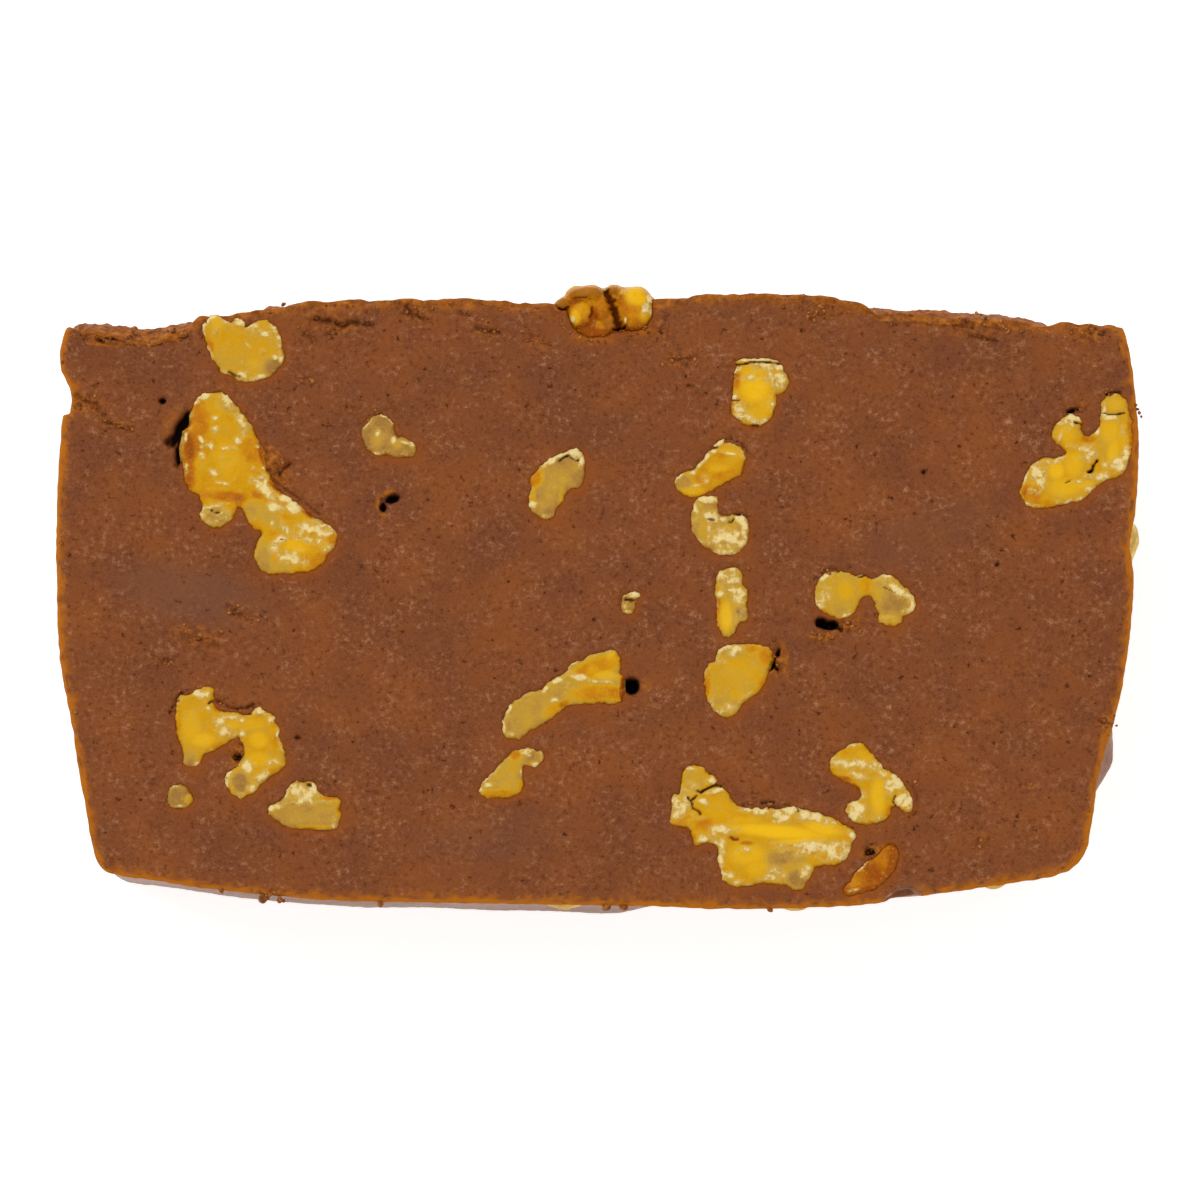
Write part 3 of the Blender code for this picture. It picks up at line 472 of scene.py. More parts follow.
            (47.3, 15.6, 0.8, 1.2, 0, 0.45), (42.3, 12.0, 0.7, 0.8, 0, 0.75),
            (43.0, 10.4, 1.4, 0.8, 0, 0.5), (43.2, 15.4, 0.8, 0.9, 0, 0.4), (44.6, 10.7, 1.2, 0.4, 5, 0.5),
            (47.8, 18.1, 0.8, 0.5, 0, 0.35), (48.3, 14.8, 0.5, 1.0, 0, 0.3)],
        "flakes": [
            (40.7, 11.5, 0.7, 1.0, 10, 0.92), (41.6, 12.8, 1.2, 0.3, 12, 0.7),
            (40.6, 10.2, 0.8, 0.4, 20, 0.7), (39.5, 11.5, 0.18, 0.8, -20, 0.8),
            (43.9, 16.95, 0.8, 0.3, -5, 1.05), (43.6, 16.2, 0.3, 0.7, -20, 0.7),
            (43.0, 16.5, 0.6, 0.25, 20, 0.75), (45.3, 13.6, 0.7, 0.7, 20, 0.86),
            (44.2, 14.0, 0.8, 0.3, -20, 0.7), (45.3, 11.4, 0.4, 0.35, 0, 1.0),
            (46.5, 11.5, 0.6, 0.45, 20, 0.95), (48.1, 12.6, 0.7, 0.6, 0, 0.95),
            (48.8, 13.6, 0.4, 0.9, 0, 0.9), (47.2, 12.4, 0.7, 0.35, -10, 0.72),
            (47.4, 16.9, 0.7, 0.35, 0, 0.8), (46.75, 17.4, 0.2, 0.7, 0, 0.8),
            (43.8, 9.2, 1.3, 0.22, 8, 0.9), (45.4, 10.1, 0.5, 0.4, 40, 0.75), (42.5, 9.1, 0.4, 0.2, 0, 0.8),
            (40.0, 8.8, 0.9, 0.15, -10, 0.6), (46.2, 15.7, 0.2, 0.4, -20, 0.6),
            (42.6, 15.0, 0.2, 0.7, -30, 0.5), (48.6, 15.4, 0.3, 0.8, 0, 0.55),
            (44.4, 11.0, 0.6, 0.15, 10, 0.7)],
        "cuts": [
            ([(45.4, 11.9), (45.65, 12.1), (45.8, 12.5), (46.05, 12.9)], 0.13, 0.9),
            ([(46.7, 17.35), (47.3, 17.2), (47.9, 17.2), (48.7, 17.35)], 0.07, 0.3),
            ([(44.0, 16.5), (44.4, 16.35), (44.7, 16.3)], 0.09, 0.35),
            ([(43.2, 10.85), (43.6, 11.05)], 0.07, 0.2)],
    },
    "walnut_lower_left": {
        "outline": [
            (-39.1, -9.4), (-38.8, -8.95), (-38.2, -8.8), (-37.6, -8.5), (-36.9, -8.15), (-36.2, -8.0),
            (-35.65, -8.3), (-35.75, -8.9), (-35.65, -9.5), (-35.5, -10.0), (-35.2, -10.3), (-34.4, -10.3),
            (-33.6, -10.4), (-32.8, -10.6), (-32.2, -10.4), (-31.9, -9.95), (-31.4, -10.0), (-31.1, -10.3),
            (-30.6, -10.4), (-30.1, -10.8), (-29.95, -11.4), (-29.6, -12.0), (-29.7, -12.7), (-29.4, -13.4),
            (-29.1, -14.1), (-29.0, -14.8), (-29.1, -15.5), (-29.7, -15.9), (-30.4, -16.4), (-31.0, -16.9),
            (-31.5, -17.4), (-32.0, -17.9), (-32.7, -18.3), (-33.2, -18.6), (-33.7, -18.3), (-34.2, -17.9),
            (-34.6, -17.3), (-34.8, -16.6), (-34.5, -16.1), (-34.0, -15.85), (-33.5, -15.4), (-33.1, -15.0),
            (-32.9, -14.4), (-33.0, -13.7), (-33.2, -13.1), (-33.5, -12.7), (-34.0, -13.0), (-34.6, -13.4),
            (-35.2, -13.8), (-35.9, -14.1), (-36.5, -14.3), (-36.8, -14.8), (-37.1, -15.4), (-37.5, -15.6),
            (-38.2, -15.5), (-38.6, -15.0), (-38.5, -14.4), (-38.7, -13.8), (-39.0, -13.1), (-39.2, -12.2),
            (-39.3, -11.2), (-39.3, -10.2)],
        "tone": 0.42,
        "toned": [
            (-38.2, -9.5, 0.9, 0.7, 0, 0.06), (-39.0, -11.6, 0.25, 1.8, 0, 0.22),
            (-37.9, -14.8, 0.7, 0.8, 0, -0.32), (-35.7, -13.6, 0.9, 0.3, 25, 0.2),
            (-31.3, -13.3, 1.1, 0.9, 0, 0.12), (-33.3, -17.0, 0.8, 0.9, 0, -0.42),
            (-30.0, -13.4, 0.3, 1.0, 0, 0.14), (-35.5, -9.9, 0.3, 0.5, 0, 0.34),
            (-30.4, -15.9, 1.0, 0.25, 30, 0.2)],
        "bright": [
            (-37.8, -11.8, 0.8, 1.4, 0, 0.35), (-36.8, -13.0, 1.0, 0.6, 0, 0.55),
            (-31.6, -13.0, 0.8, 0.7, 0, 0.5), (-32.4, -11.6, 1.2, 0.5, 0, 0.25),
            (-31.6, -14.8, 1.0, 0.6, 0, 0.4), (-33.9, -11.6, 0.7, 0.4, 0, 0.35)],
        "flakes": [
            (-37.0, -8.75, 0.9, 0.4, -15, 0.98), (-36.3, -9.8, 0.3, 0.5, 0, 0.75),
            (-35.3, -11.4, 0.5, 0.5, 0, 1.0), (-34.7, -12.3, 0.8, 0.5, -10, 0.9),
            (-34.2, -10.85, 1.0, 0.28, -5, 0.85), (-33.2, -11.2, 0.3, 0.15, 0, 0.7),
            (-31.5, -10.35, 0.55, 0.35, 0, 1.05), (-30.4, -11.2, 0.35, 0.4, -30, 0.85),
            (-29.8, -12.3, 0.2, 0.6, -10, 0.7), (-29.5, -13.6, 0.12, 0.7, 15, 0.85),
            (-33.0, -12.4, 0.3, 0.3, 0, 0.7), (-32.5, -15.5, 0.7, 0.5, -30, 0.85),
            (-31.4, -16.5, 0.8, 0.5, 30, 0.88), (-32.2, -17.5, 0.4, 0.5, 40, 0.65),
            (-34.4, -16.4, 0.3, 0.45, 0, 0.95), (-33.3, -18.2, 0.4, 0.3, 0, 0.65),
            (-37.3, -15.3, 0.35, 0.25, 0, 0.8), (-36.3, -14.0, 0.5, 0.2, 20, 0.6),
            (-30.2, -15.2, 0.5, 0.4, 0, 0.6), (-34.6, -17.3, 0.2, 0.4, 0, 0.6)],
        "cuts": [
            ([(-36.2, -9.6), (-35.9, -9.4), (-35.6, -9.6)], 0.09, 0.3),
            ([(-33.3, -10.45), (-32.8, -10.6), (-32.3, -10.6)], 0.08, 0.3)],
    },
    "walnut_chip_left": {
        "outline": [
            (-39.9, -17.6), (-39.5, -17.15), (-38.9, -17.1), (-38.3, -17.3), (-37.9, -17.8), (-37.6, -18.4),
            (-37.7, -18.9), (-38.2, -19.3), (-38.9, -19.4), (-39.6, -19.3), (-40.0, -18.8),
            (-40.05, -18.2)],
        "tone": 0.0, "litEdgeHighlight": 0.1,
        "toned": [(-38.0, -18.5, 0.35, 0.5, 0, 0.4)],
        "bright": [],
        "flakes": [
            (-39.3, -17.35, 0.5, 0.2, 10, 0.8), (-38.9, -19.15, 0.7, 0.12, 0, 0.65),
            (-38.1, -18.3, 0.2, 0.2, 0, 0.6)],
        "cuts": [],
    },
    "walnut_mound": {
        "outline": [
            (-30.8, -19.3), (-30.4, -18.95), (-29.8, -18.7), (-29.3, -18.4), (-29.0, -17.7), (-28.6, -17.1),
            (-28.1, -16.75), (-27.4, -16.85), (-26.7, -16.75), (-26.2, -17.2), (-26.0, -17.8),
            (-25.4, -18.15), (-24.7, -18.2), (-24.2, -18.3), (-23.9, -18.7), (-24.0, -19.4),
            (-23.95, -20.2), (-24.1, -20.9), (-24.6, -21.4), (-25.5, -21.5), (-26.5, -21.3), (-27.5, -21.3),
            (-28.5, -21.2), (-29.3, -20.9), (-30.1, -20.4), (-30.7, -20.0)],
        "tone": 0.16,
        "toned": [
            (-27.6, -20.1, 2.2, 0.6, 0, 0.04), (-25.0, -18.4, 0.9, 0.25, -5, 0.55),
            (-24.2, -19.6, 0.2, 0.8, 0, 0.4), (-26.3, -21.1, 1.6, 0.2, 0, 0.4)],
        "bright": [(-28.2, -18.0, 0.8, 0.5, 0, 0.2)],
        "flakes": [
            (-28.3, -17.6, 0.8, 0.6, -20, 0.82), (-27.2, -18.3, 1.3, 0.6, 0, 0.86),
            (-26.5, -17.4, 0.4, 0.4, 0, 1.0), (-25.6, -18.7, 0.6, 0.25, -10, 0.75),
            (-30.1, -19.3, 0.6, 0.28, 10, 0.75), (-24.5, -20.7, 0.3, 0.5, 0, 0.6),
            (-28.4, -18.8, 0.7, 0.2, 0, 0.65)],
        "cuts": [([(-27.0, -17.15), (-26.7, -17.2)], 0.12, 0.5)],
    },
    "walnut_lower_centre": {
        "outline": [
            (-9.0, -11.3), (-8.8, -10.6), (-8.5, -9.9), (-8.0, -9.4), (-7.3, -9.0), (-6.6, -8.6),
            (-5.9, -8.45), (-5.4, -8.3), (-5.0, -7.8), (-4.5, -7.45), (-3.9, -7.1), (-3.4, -6.9),
            (-3.1, -6.6), (-2.9, -6.2), (-2.4, -5.8), (-1.7, -5.6), (-1.1, -5.25), (-0.4, -4.95),
            (0.3, -4.8), (1.0, -4.55), (1.5, -4.8), (1.9, -5.4), (2.0, -6.1), (1.9, -6.8), (2.2, -7.1),
            (2.15, -7.9), (2.2, -8.7), (2.0, -9.5), (1.3, -9.7), (0.4, -9.6), (-0.5, -9.7), (-1.4, -9.75),
            (-2.2, -9.8), (-3.0, -9.85), (-3.5, -10.3), (-4.1, -10.8), (-4.8, -11.3), (-5.6, -11.8),
            (-6.4, -12.15), (-7.0, -12.6), (-7.4, -13.0), (-8.1, -13.0), (-8.7, -12.8), (-9.0, -12.2)],
        "tone": 0.22,
        "toned": [
            (-0.4, -6.3, 2.2, 0.8, 20, 0.46), (0.0, -8.7, 2.6, 0.8, 0, 0.46),
            (-4.2, -10.2, 1.2, 0.5, 30, 0.3), (2.05, -8.3, 0.2, 1.3, 0, 0.9),
            (-8.0, -11.8, 0.9, 0.8, 0, -0.1), (1.4, -5.4, 0.5, 0.7, 0, 0.1),
            (-3.3, -9.6, 0.5, 0.3, 30, 0.4)],
        "bright": [
            (1.1, -5.4, 0.5, 0.6, 0, 0.4), (0.5, -7.0, 1.2, 0.4, -5, 0.5), (-0.6, -6.6, 0.6, 0.4, 0, 0.3)],
        "flakes": [
            (-2.3, -7.15, 0.9, 0.32, -10, 0.85), (0.0, -7.6, 1.1, 0.16, -4, 0.8),
            (-4.0, -7.6, 0.6, 0.22, 15, 0.95), (-4.3, -9.35, 0.4, 0.2, 0, 0.85),
            (-5.0, -8.3, 0.4, 0.25, 30, 0.9), (-8.6, -10.5, 0.22, 0.9, -25, 0.65),
            (-8.9, -11.9, 0.15, 0.5, 0, 0.6), (-2.6, -6.0, 0.6, 0.12, 35, 0.7),
            (-7.2, -9.1, 0.8, 0.15, 25, 0.6), (-3.2, -7.9, 0.4, 0.3, 0, 0.6),
            (-8.2, -12.5, 0.3, 0.2, 0, 0.55), (0.9, -4.75, 0.5, 0.12, 20, 0.55)],
        "cuts": [],
    },
    "walnut_lower_chip": {
        "outline": [
            (-11.2, -17.8), (-11.0, -17.2), (-10.7, -16.7), (-10.3, -16.3), (-9.9, -15.95), (-9.5, -15.4),
            (-9.1, -15.0), (-8.6, -14.6), (-8.2, -14.1), (-7.8, -13.9), (-7.3, -13.9), (-6.9, -13.7),
            (-6.5, -13.65), (-6.0, -13.9), (-5.5, -13.9), (-5.15, -14.3), (-5.25, -14.9), (-5.6, -15.3),
            (-6.0, -15.65), (-6.5, -15.45), (-7.0, -15.4), (-7.15, -16.0), (-7.1, -16.7), (-7.0, -17.3),
            (-7.2, -17.9), (-7.8, -18.2), (-8.6, -18.4), (-9.5, -18.4), (-10.4, -18.4), (-11.0, -18.2)],
        "tone": 0.22,
        "toned": [
            (-7.9, -14.4, 0.6, 0.5, 0, 0.62), (-9.4, -18.0, 1.8, 0.4, 0, 0.42),
            (-8.0, -15.6, 0.7, 0.6, 0, 0.12), (-6.2, -14.6, 0.7, 0.5, 0, -0.12),
            (-7.3, -17.4, 0.4, 0.6, 0, 0.3)],
        "bright": [],
        "flakes": [
            (-6.7, -14.1, 0.5, 0.4, 0, 0.86), (-6.0, -15.3, 0.35, 0.25, 0, 0.8),
            (-9.5, -15.4, 0.5, 0.12, 50, 0.8), (-10.5, -16.6, 0.5, 0.12, 45, 0.75),
            (-10.3, -17.2, 0.6, 0.2, 0, 0.65), (-7.3, -16.0, 0.12, 0.4, 0, 0.7),
            (-11.0, -17.6, 0.3, 0.2, 0, 0.6), (-5.4, -14.6, 0.15, 0.5, 0, 0.6)],
        "cuts": [],
    },
    "walnut_chip_centre": {
        "outline": [
            (2.0, 0.2), (2.4, 0.6), (3.1, 0.75), (3.7, 0.6), (3.9, 0.3), (3.5, 0.1), (3.3, -0.3),
            (3.3, -0.9), (3.0, -1.35), (2.4, -1.4), (2.0, -1.1), (1.95, -0.6), (1.95, -0.1)],
        "tone": 0.0,
        "toned": [(2.9, -0.4, 0.4, 0.5, 0, -0.1)],
        "bright": [],
        "flakes": [
            (3.0, 0.45, 0.8, 0.25, 5, 1.15), (2.3, -0.5, 0.3, 0.3, 0, 0.9), (2.6, -1.2, 0.5, 0.2, 0, 0.7)],
        "cuts": [([(2.4, 0.05), (3.0, -0.05), (3.2, -0.1)], 0.12, 0.3)],
    },
    "walnut_big": {
        "outline": [
            (7.45, -17.3), (7.45, -16.6), (7.6, -15.9), (8.1, -15.4), (8.8, -15.3), (9.5, -15.5),
            (9.9, -15.95), (10.4, -16.3), (10.85, -16.65), (10.75, -17.05), (11.3, -17.3), (11.7, -17.6),
            (12.0, -18.2), (12.5, -18.85), (13.1, -19.2), (14.3, -19.3), (15.6, -19.35), (17.0, -19.35),
            (17.9, -19.1), (18.5, -19.4), (19.4, -19.5), (20.3, -19.75), (21.2, -20.1), (22.0, -20.4),
            (22.6, -20.9), (23.3, -21.3), (23.7, -21.7), (23.6, -22.2), (23.3, -22.8), (23.1, -23.5),
            (22.5, -24.2), (21.8, -24.65), (20.8, -24.6), (20.0, -24.75), (19.8, -25.1), (19.5, -25.7),
            (19.1, -26.2), (18.7, -26.9), (18.0, -26.9), (17.2, -26.5), (16.2, -26.4), (15.0, -26.3),
            (13.9, -26.5), (13.0, -26.6), (12.0, -26.5), (11.3, -26.0), (11.1, -25.2), (10.9, -24.6),
            (10.85, -23.8), (11.0, -23.2), (10.7, -22.8), (10.3, -22.6), (9.6, -22.6), (9.2, -22.9),
            (8.7, -22.8), (8.5, -22.2), (8.4, -21.5), (7.9, -21.1), (7.0, -21.0), (6.4, -20.6),
            (6.5, -20.0), (6.6, -19.2), (6.5, -18.5), (6.8, -18.0), (7.4, -17.9)],
        "tone": 0.46,
        "toned": [
            (8.8, -16.6, 1.0, 1.0, 0, -0.20), (11.0, -19.3, 1.3, 1.1, -20, 0.02),
            (9.6, -20.8, 1.0, 0.5, 0, 0.18), (13.6, -22.6, 0.6, 0.22, -5, 0.46),
            (12.3, -22.1, 0.6, 0.25, -10, 0.30), (12.6, -24.4, 1.0, 1.2, 0, 0.04),
            (17.2, -23.9, 1.8, 0.7, -5, -0.32), (18.2, -25.9, 1.0, 0.9, 0, -0.42),
            (16.0, -25.0, 1.0, 0.8, 0, -0.20), (8.7, -22.2, 0.3, 0.6, 0, 0.24),
            (11.3, -25.4, 0.25, 0.8, 0, 0.2), (7.3, -20.6, 0.7, 0.3, 0, 0.14),
            (22.6, -23.6, 0.5, 0.7, 30, -0.10), (20.8, -19.9, 1.6, 0.2, -15, 0.2)],
        "bright": [
            (16.5, -21.5, 4.2, 0.6, -5, 0.95), (20.6, -21.2, 1.6, 0.6, -10, 0.8),
            (13.6, -23.6, 1.6, 0.9, 0, 0.55), (11.0, -19.6, 1.2, 0.9, 0, 0.2),
            (18.6, -22.4, 2.0, 0.3, 0, 0.8), (14.5, -24.8, 1.0, 0.8, 0, 0.4),
            (13.4, -20.5, 1.4, 0.4, 0, 0.35), (20.4, -20.3, 1.0, 0.3, -10, 0.5)],
        "flakes": [
            (7.5, -19.4, 0.9, 1.0, 0, 0.84), (8.3, -17.6, 0.7, 0.6, 0, 0.7),
            (8.2, -15.6, 0.6, 0.2, -15, 0.6), (10.4, -16.8, 0.5, 0.35, 0, 0.75),
            (10.6, -17.75, 0.9, 0.25, 12, 0.9), (9.6, -18.75, 0.5, 0.25, -20, 0.9),
            (14.2, -19.6, 1.3, 0.3, -5, 0.78), (16.5, -20.2, 0.8, 0.5, -15, 1.1),
            (17.8, -19.5, 0.8, 0.4, 10, 0.95), (18.9, -19.95, 0.8, 0.5, -20, 0.98),
            (20.3, -20.3, 0.9, 0.4, -20, 0.8), (21.7, -20.7, 0.5, 0.35, -30, 0.75),
            (23.3, -21.9, 0.3, 0.6, 20, 0.75), (11.3, -21.3, 1.3, 0.38, -5, 0.92),
            (9.4, -22.2, 0.7, 0.35, 20, 0.85), (10.7, -22.1, 0.9, 0.45, -20, 0.85),
            (11.2, -23.7, 0.28, 1.2, 0, 0.8), (19.8, -23.0, 2.8, 0.7, -3, 0.84),
            (17.4, -22.7, 1.6, 0.3, 0, 0.65), (21.6, -23.6, 1.4, 0.7, -10, 0.86),
            (16.2, -25.4, 0.9, 0.55, -20, 0.82), (19.0, -25.2, 0.6, 0.6, 0, 0.72),
            (12.8, -26.2, 1.3, 0.25, -6, 0.7), (11.9, -25.6, 0.5, 0.4, -30, 0.55),
            (15.4, -25.9, 1.2, 0.2, 0, 0.5), (13.4, -23.3, 0.7, 0.4, 0, 0.6),
            (9.2, -20.3, 0.6, 0.2, 0, 0.6), (22.8, -22.8, 0.5, 0.5, 0, 0.7)],
        "cuts": [
            ([(9.0, -17.75), (9.35, -17.85), (9.8, -17.55), (10.6, -17.2), (11.2, -17.3)], 0.1, 0.5),
            ([(8.1, -18.3), (8.5, -18.9), (8.55, -19.3), (9.1, -19.6), (9.3, -19.9)], 0.08, 0.35),
            ([(8.4, -18.6), (8.7, -18.4), (9.0, -18.1)], 0.09, 0.3),
            ([(12.1, -22.0), (12.4, -22.25), (12.8, -22.2)], 0.07, 0.2),
            ([(18.2, -19.2), (18.35, -19.6)], 0.06, 0.2)],
    },
    "walnut_lower_right": {
        "outline": [
            (21.3, -14.6), (21.9, -14.1), (22.7, -13.7), (23.1, -13.3), (23.7, -13.2), (24.4, -13.4),
            (24.9, -13.9), (25.3, -14.4), (25.9, -15.1), (26.3, -15.6), (26.9, -15.9), (27.5, -16.3),
            (27.9, -16.8), (28.3, -17.3), (28.6, -17.8), (28.9, -18.4), (29.05, -19.0), (28.85, -19.6),
            (28.35, -19.8), (27.9, -19.5), (27.4, -19.2), (27.0, -19.3), (26.9, -19.9), (26.5, -20.4),
            (25.8, -20.7), (24.8, -20.85), (24.0, -20.8), (23.4, -20.6), (23.0, -20.1), (22.7, -19.5),
            (22.8, -19.0), (23.3, -18.7), (23.9, -18.6), (24.1, -18.1), (23.9, -17.6), (23.1, -17.1),
            (22.3, -16.8), (21.6, -16.3), (21.2, -15.7), (21.1, -15.1)],
        "tone": 0.40,
        "toned": [
            (23.4, -13.9, 1.2, 0.4, 15, 0.10), (21.5, -15.6, 0.3, 0.8, 0, 0.26),
            (22.6, -16.6, 0.9, 0.25, -12, 0.46), (23.6, -17.3, 0.5, 0.3, -30, 0.3),
            (24.7, -17.3, 0.3, 0.6, 0, 0.12), (26.7, -19.8, 0.3, 0.6, 0, 0.2)],
        "bright": [
            (25.7, -18.2, 0.6, 1.7, 0, 0.6), (24.6, -14.6, 0.8, 0.5, -20, 0.3),
            (26.2, -16.0, 0.8, 0.3, -20, 0.4)],
        "flakes": [
            (21.7, -15.0, 0.5, 0.5, 0, 0.65), (24.0, -15.4, 1.9, 0.5, -5, 0.8),
            (23.9, -16.3, 0.8, 0.35, -10, 0.86), (26.2, -16.2, 0.7, 0.3, -25, 0.7),
            (27.4, -17.2, 0.9, 0.85, -40, 0.98), (28.1, -18.7, 0.75, 0.9, -30, 1.1),
            (23.6, -19.6, 0.75, 0.85, 0, 1.05), (24.3, -18.2, 0.3, 0.4, 0, 0.75),
            (25.6, -20.3, 0.8, 0.25, 0, 0.55), (23.2, -13.5, 0.4, 0.15, 0, 0.7),
            (24.2, -20.2, 0.5, 0.4, 0, 0.7)],
        "cuts": [([(27.3, -18.2), (27.1, -18.7), (27.3, -19.1)], 0.07, 0.25)],
    },
    "walnut_skin": {
        "outline": [
            (26.4, -22.8), (26.9, -22.6), (27.4, -22.9), (27.7, -23.5), (27.6, -24.3), (27.3, -25.0),
            (26.9, -25.7), (26.2, -26.3), (25.5, -26.8), (24.6, -27.1), (23.9, -27.35), (23.2, -27.45),
            (22.6, -27.3), (22.3, -26.9), (22.5, -26.5), (23.1, -26.1), (23.3, -25.5), (23.8, -25.0),
            (24.3, -24.5), (24.8, -24.1), (25.4, -23.8), (25.9, -23.3)],
        "tone": 0.90,
        "toned": [
            (23.6, -26.4, 0.9, 0.5, 20, -0.10), (27.0, -24.6, 0.4, 1.3, -20, 0.16),
            (25.6, -25.2, 0.9, 0.5, 42, 0.04), (24.6, -26.8, 1.2, 0.2, 15, 0.2)],
        "bright": [(23.5, -26.2, 0.6, 0.35, 20, 0.12)],
        "flakes": [
            (23.4, -26.9, 0.5, 0.15, 10, 0.6), (24.0, -25.0, 0.5, 0.15, 45, 0.55),
            (24.6, -24.4, 0.4, 0.12, 40, 0.55)],
        "cuts": [],
        "roll": 0.28, "litEdgeHighlight": 0.0,
    },
    "walnut_crown": {
        "outline": [
            (-4.15, 27.3), (-4.05, 27.7), (-3.6, 28.05), (-3.1, 28.4), (-2.95, 28.8), (-2.4, 29.2),
            (-1.9, 29.15), (-1.3, 29.25), (-0.6, 29.3), (-0.2, 29.15), (0.1, 28.95), (0.7, 29.05),
            (1.0, 29.3), (1.6, 29.3), (2.0, 29.1), (2.5, 29.05), (3.3, 29.15), (3.8, 29.15), (4.3, 28.8),
            (4.6, 28.4), (4.95, 28.0), (4.95, 27.3), (4.9, 26.4), (4.55, 25.7), (4.1, 25.15), (3.2, 25.0),
            (2.2, 24.95), (1.2, 24.75), (0.5, 24.4), (-0.3, 24.3), (-1.2, 24.4), (-2.0, 24.7),
            (-2.5, 25.15), (-2.8, 25.7), (-3.0, 26.3), (-3.2, 26.9), (-3.7, 27.0)],
        "tone": 0.74,
        "toned": [
            (0.1, 27.0, 0.7, 0.9, -8, 0.14), (-1.0, 25.0, 1.2, 0.7, -10, 0.36),
            (-0.6, 26.2, 0.4, 0.8, -15, 0.22), (2.15, 27.2, 0.4, 1.2, 12, 0.14),
            (3.1, 25.7, 0.9, 0.6, 0, 0.12), (-0.75, 27.1, 0.12, 0.5, 0, 0.3),
            (-2.3, 27.8, 0.6, 0.3, 0, 0.2), (1.6, 24.95, 1.6, 0.3, 0, 0.3),
            (3.4, 28.2, 0.9, 0.8, 0, -0.14)],
        "bright": [
            (3.4, 28.2, 1.0, 0.9, 0, 0.75), (-2.3, 26.3, 0.5, 0.7, 0, 0.7), (-1.6, 27.0, 0.6, 0.7, 0, 0.35),
            (4.2, 26.5, 0.5, 0.6, 0, 0.5), (1.9, 28.7, 0.4, 0.3, 0, 0.4)],
        "flakes": [
            (4.3, 27.3, 0.35, 0.7, -10, 0.8), (4.6, 27.9, 0.35, 0.4, 30, 0.95),
            (4.75, 26.9, 0.15, 0.7, 0, 0.8), (-2.5, 26.1, 0.2, 0.3, 0, 0.5), (2.2, 28.6, 0.5, 0.2, 0, 0.45),
            (0.3, 28.75, 0.35, 0.1, 35, 0.9), (-2.5, 28.65, 0.35, 0.1, 15, 1.0),
            (2.35, 26.0, 0.1, 0.25, 0, 0.8)],
        "cuts": [
            ([(0.55, 28.7), (0.75, 28.3), (1.1, 27.6), (1.45, 26.8), (1.65, 26.0), (1.75, 25.4)], 0.3, 0.9),
            ([(-3.0, 27.3), (-3.4, 27.0), (-3.9, 27.1)], 0.1, 0.3),
            ([(1.2, 25.2), (1.7, 25.25), (2.3, 25.4)], 0.12, 0.8),
            ([(-0.8, 27.2), (-0.7, 26.8), (-0.95, 26.3)], 0.07, 0.25),
            ([(-2.3, 28.15), (-1.4, 28.15), (-0.9, 28.05)], 0.05, 0.15)],
        "skin": [
            (-1.5, 28.65, 1.4, 0.5, 5, 1.0), (-3.6, 27.6, 0.6, 0.5, 20, 1.3),
            (1.3, 28.95, 0.5, 0.4, 0, 1.0), (-0.2, 28.8, 0.5, 0.3, -20, 1.0),
            (0.9, 25.65, 0.5, 0.55, 0, 1.2), (0.1, 28.1, 0.6, 0.3, 20, 0.5)],
        "roll": 0.5,
        "level": -0.6,
        "forms": [
            (-1.85, 26.6, 1.1, 1.3, 0, 0.8), (3.3, 27.1, 1.7, 2.2, 0, 1.1),
            (0.15, 27.1, 0.75, 1.1, -10, 0.5), (-1.4, 28.6, 1.6, 0.65, 5, 0.7),
            (-3.5, 27.6, 0.7, 0.6, 20, 0.5), (0.9, 25.7, 0.6, 0.6, 0, 0.35), (1.3, 28.9, 0.5, 0.4, 0, 0.5)],
    },
}

# Pieces in the side walls: middle x, y and depth, half sizes, then tone and how dry they are
wallNuts = {
    "walnut_right_wall": (48.6, 6.0, 4.3, 1.5, 2.6, 2.4, 0.35, 0.62),
    "walnut_left_notch": (-48.4, 18.9, 3.4, 0.9, 1.2, 1.9, 0.0, 0.10),
    "walnut_base_wall": (-3.4, -27.0, 6.2, 2.6, 1.5, 2.9, 0.45, 0.2),
    "walnut_top_a": (-24.0, 25.9, 12.0, 3.6, 2.0, 2.9, 0.30, 0.3),
    "walnut_top_b": (16.0, 26.6, 15.5, 2.7, 1.9, 3.6, 0.40, 0.3),
    "walnut_top_c": (37.0, 24.9, 11.0, 3.2, 1.9, 2.3, 0.30, 0.3),
    "walnut_left_wall": (-48.6, -1.5, 14.0, 1.8, 3.4, 2.7, 0.35, 0.3),
    "walnut_right_low": (46.8, -8.0, 17.5, 1.8, 2.7, 3.3, 0.30, 0.3),
    "walnut_base_b": (18.0, -26.5, 15.0, 3.1, 1.8, 2.4, 0.40, 0.3),
    "walnut_base_c": (36.5, -24.7, 9.5, 2.3, 1.7, 2.9, 0.35, 0.3),
}

# Pieces cut through by the back face: the front piece whose form each takes, its place and turn
backNuts = {
    "walnut_back_a": ("walnut_twin", -31.0, 12.0, 65.0),
    "walnut_back_b": ("walnut_middle", -9.0, -14.0, 200.0),
    "walnut_back_c": ("walnut_long", 25.0, -8.0, 150.0),
    "walnut_back_d": ("walnut_bean_amber", 5.0, 11.0, 100.0),
    "walnut_back_e": ("walnut_upper_right", -34.0, -13.0, 40.0),
    "walnut_back_f": ("walnut_curl", 36.0, 13.0, 220.0),
    "walnut_back_g": ("walnut_stub", -13.0, 4.0, 60.0),
}

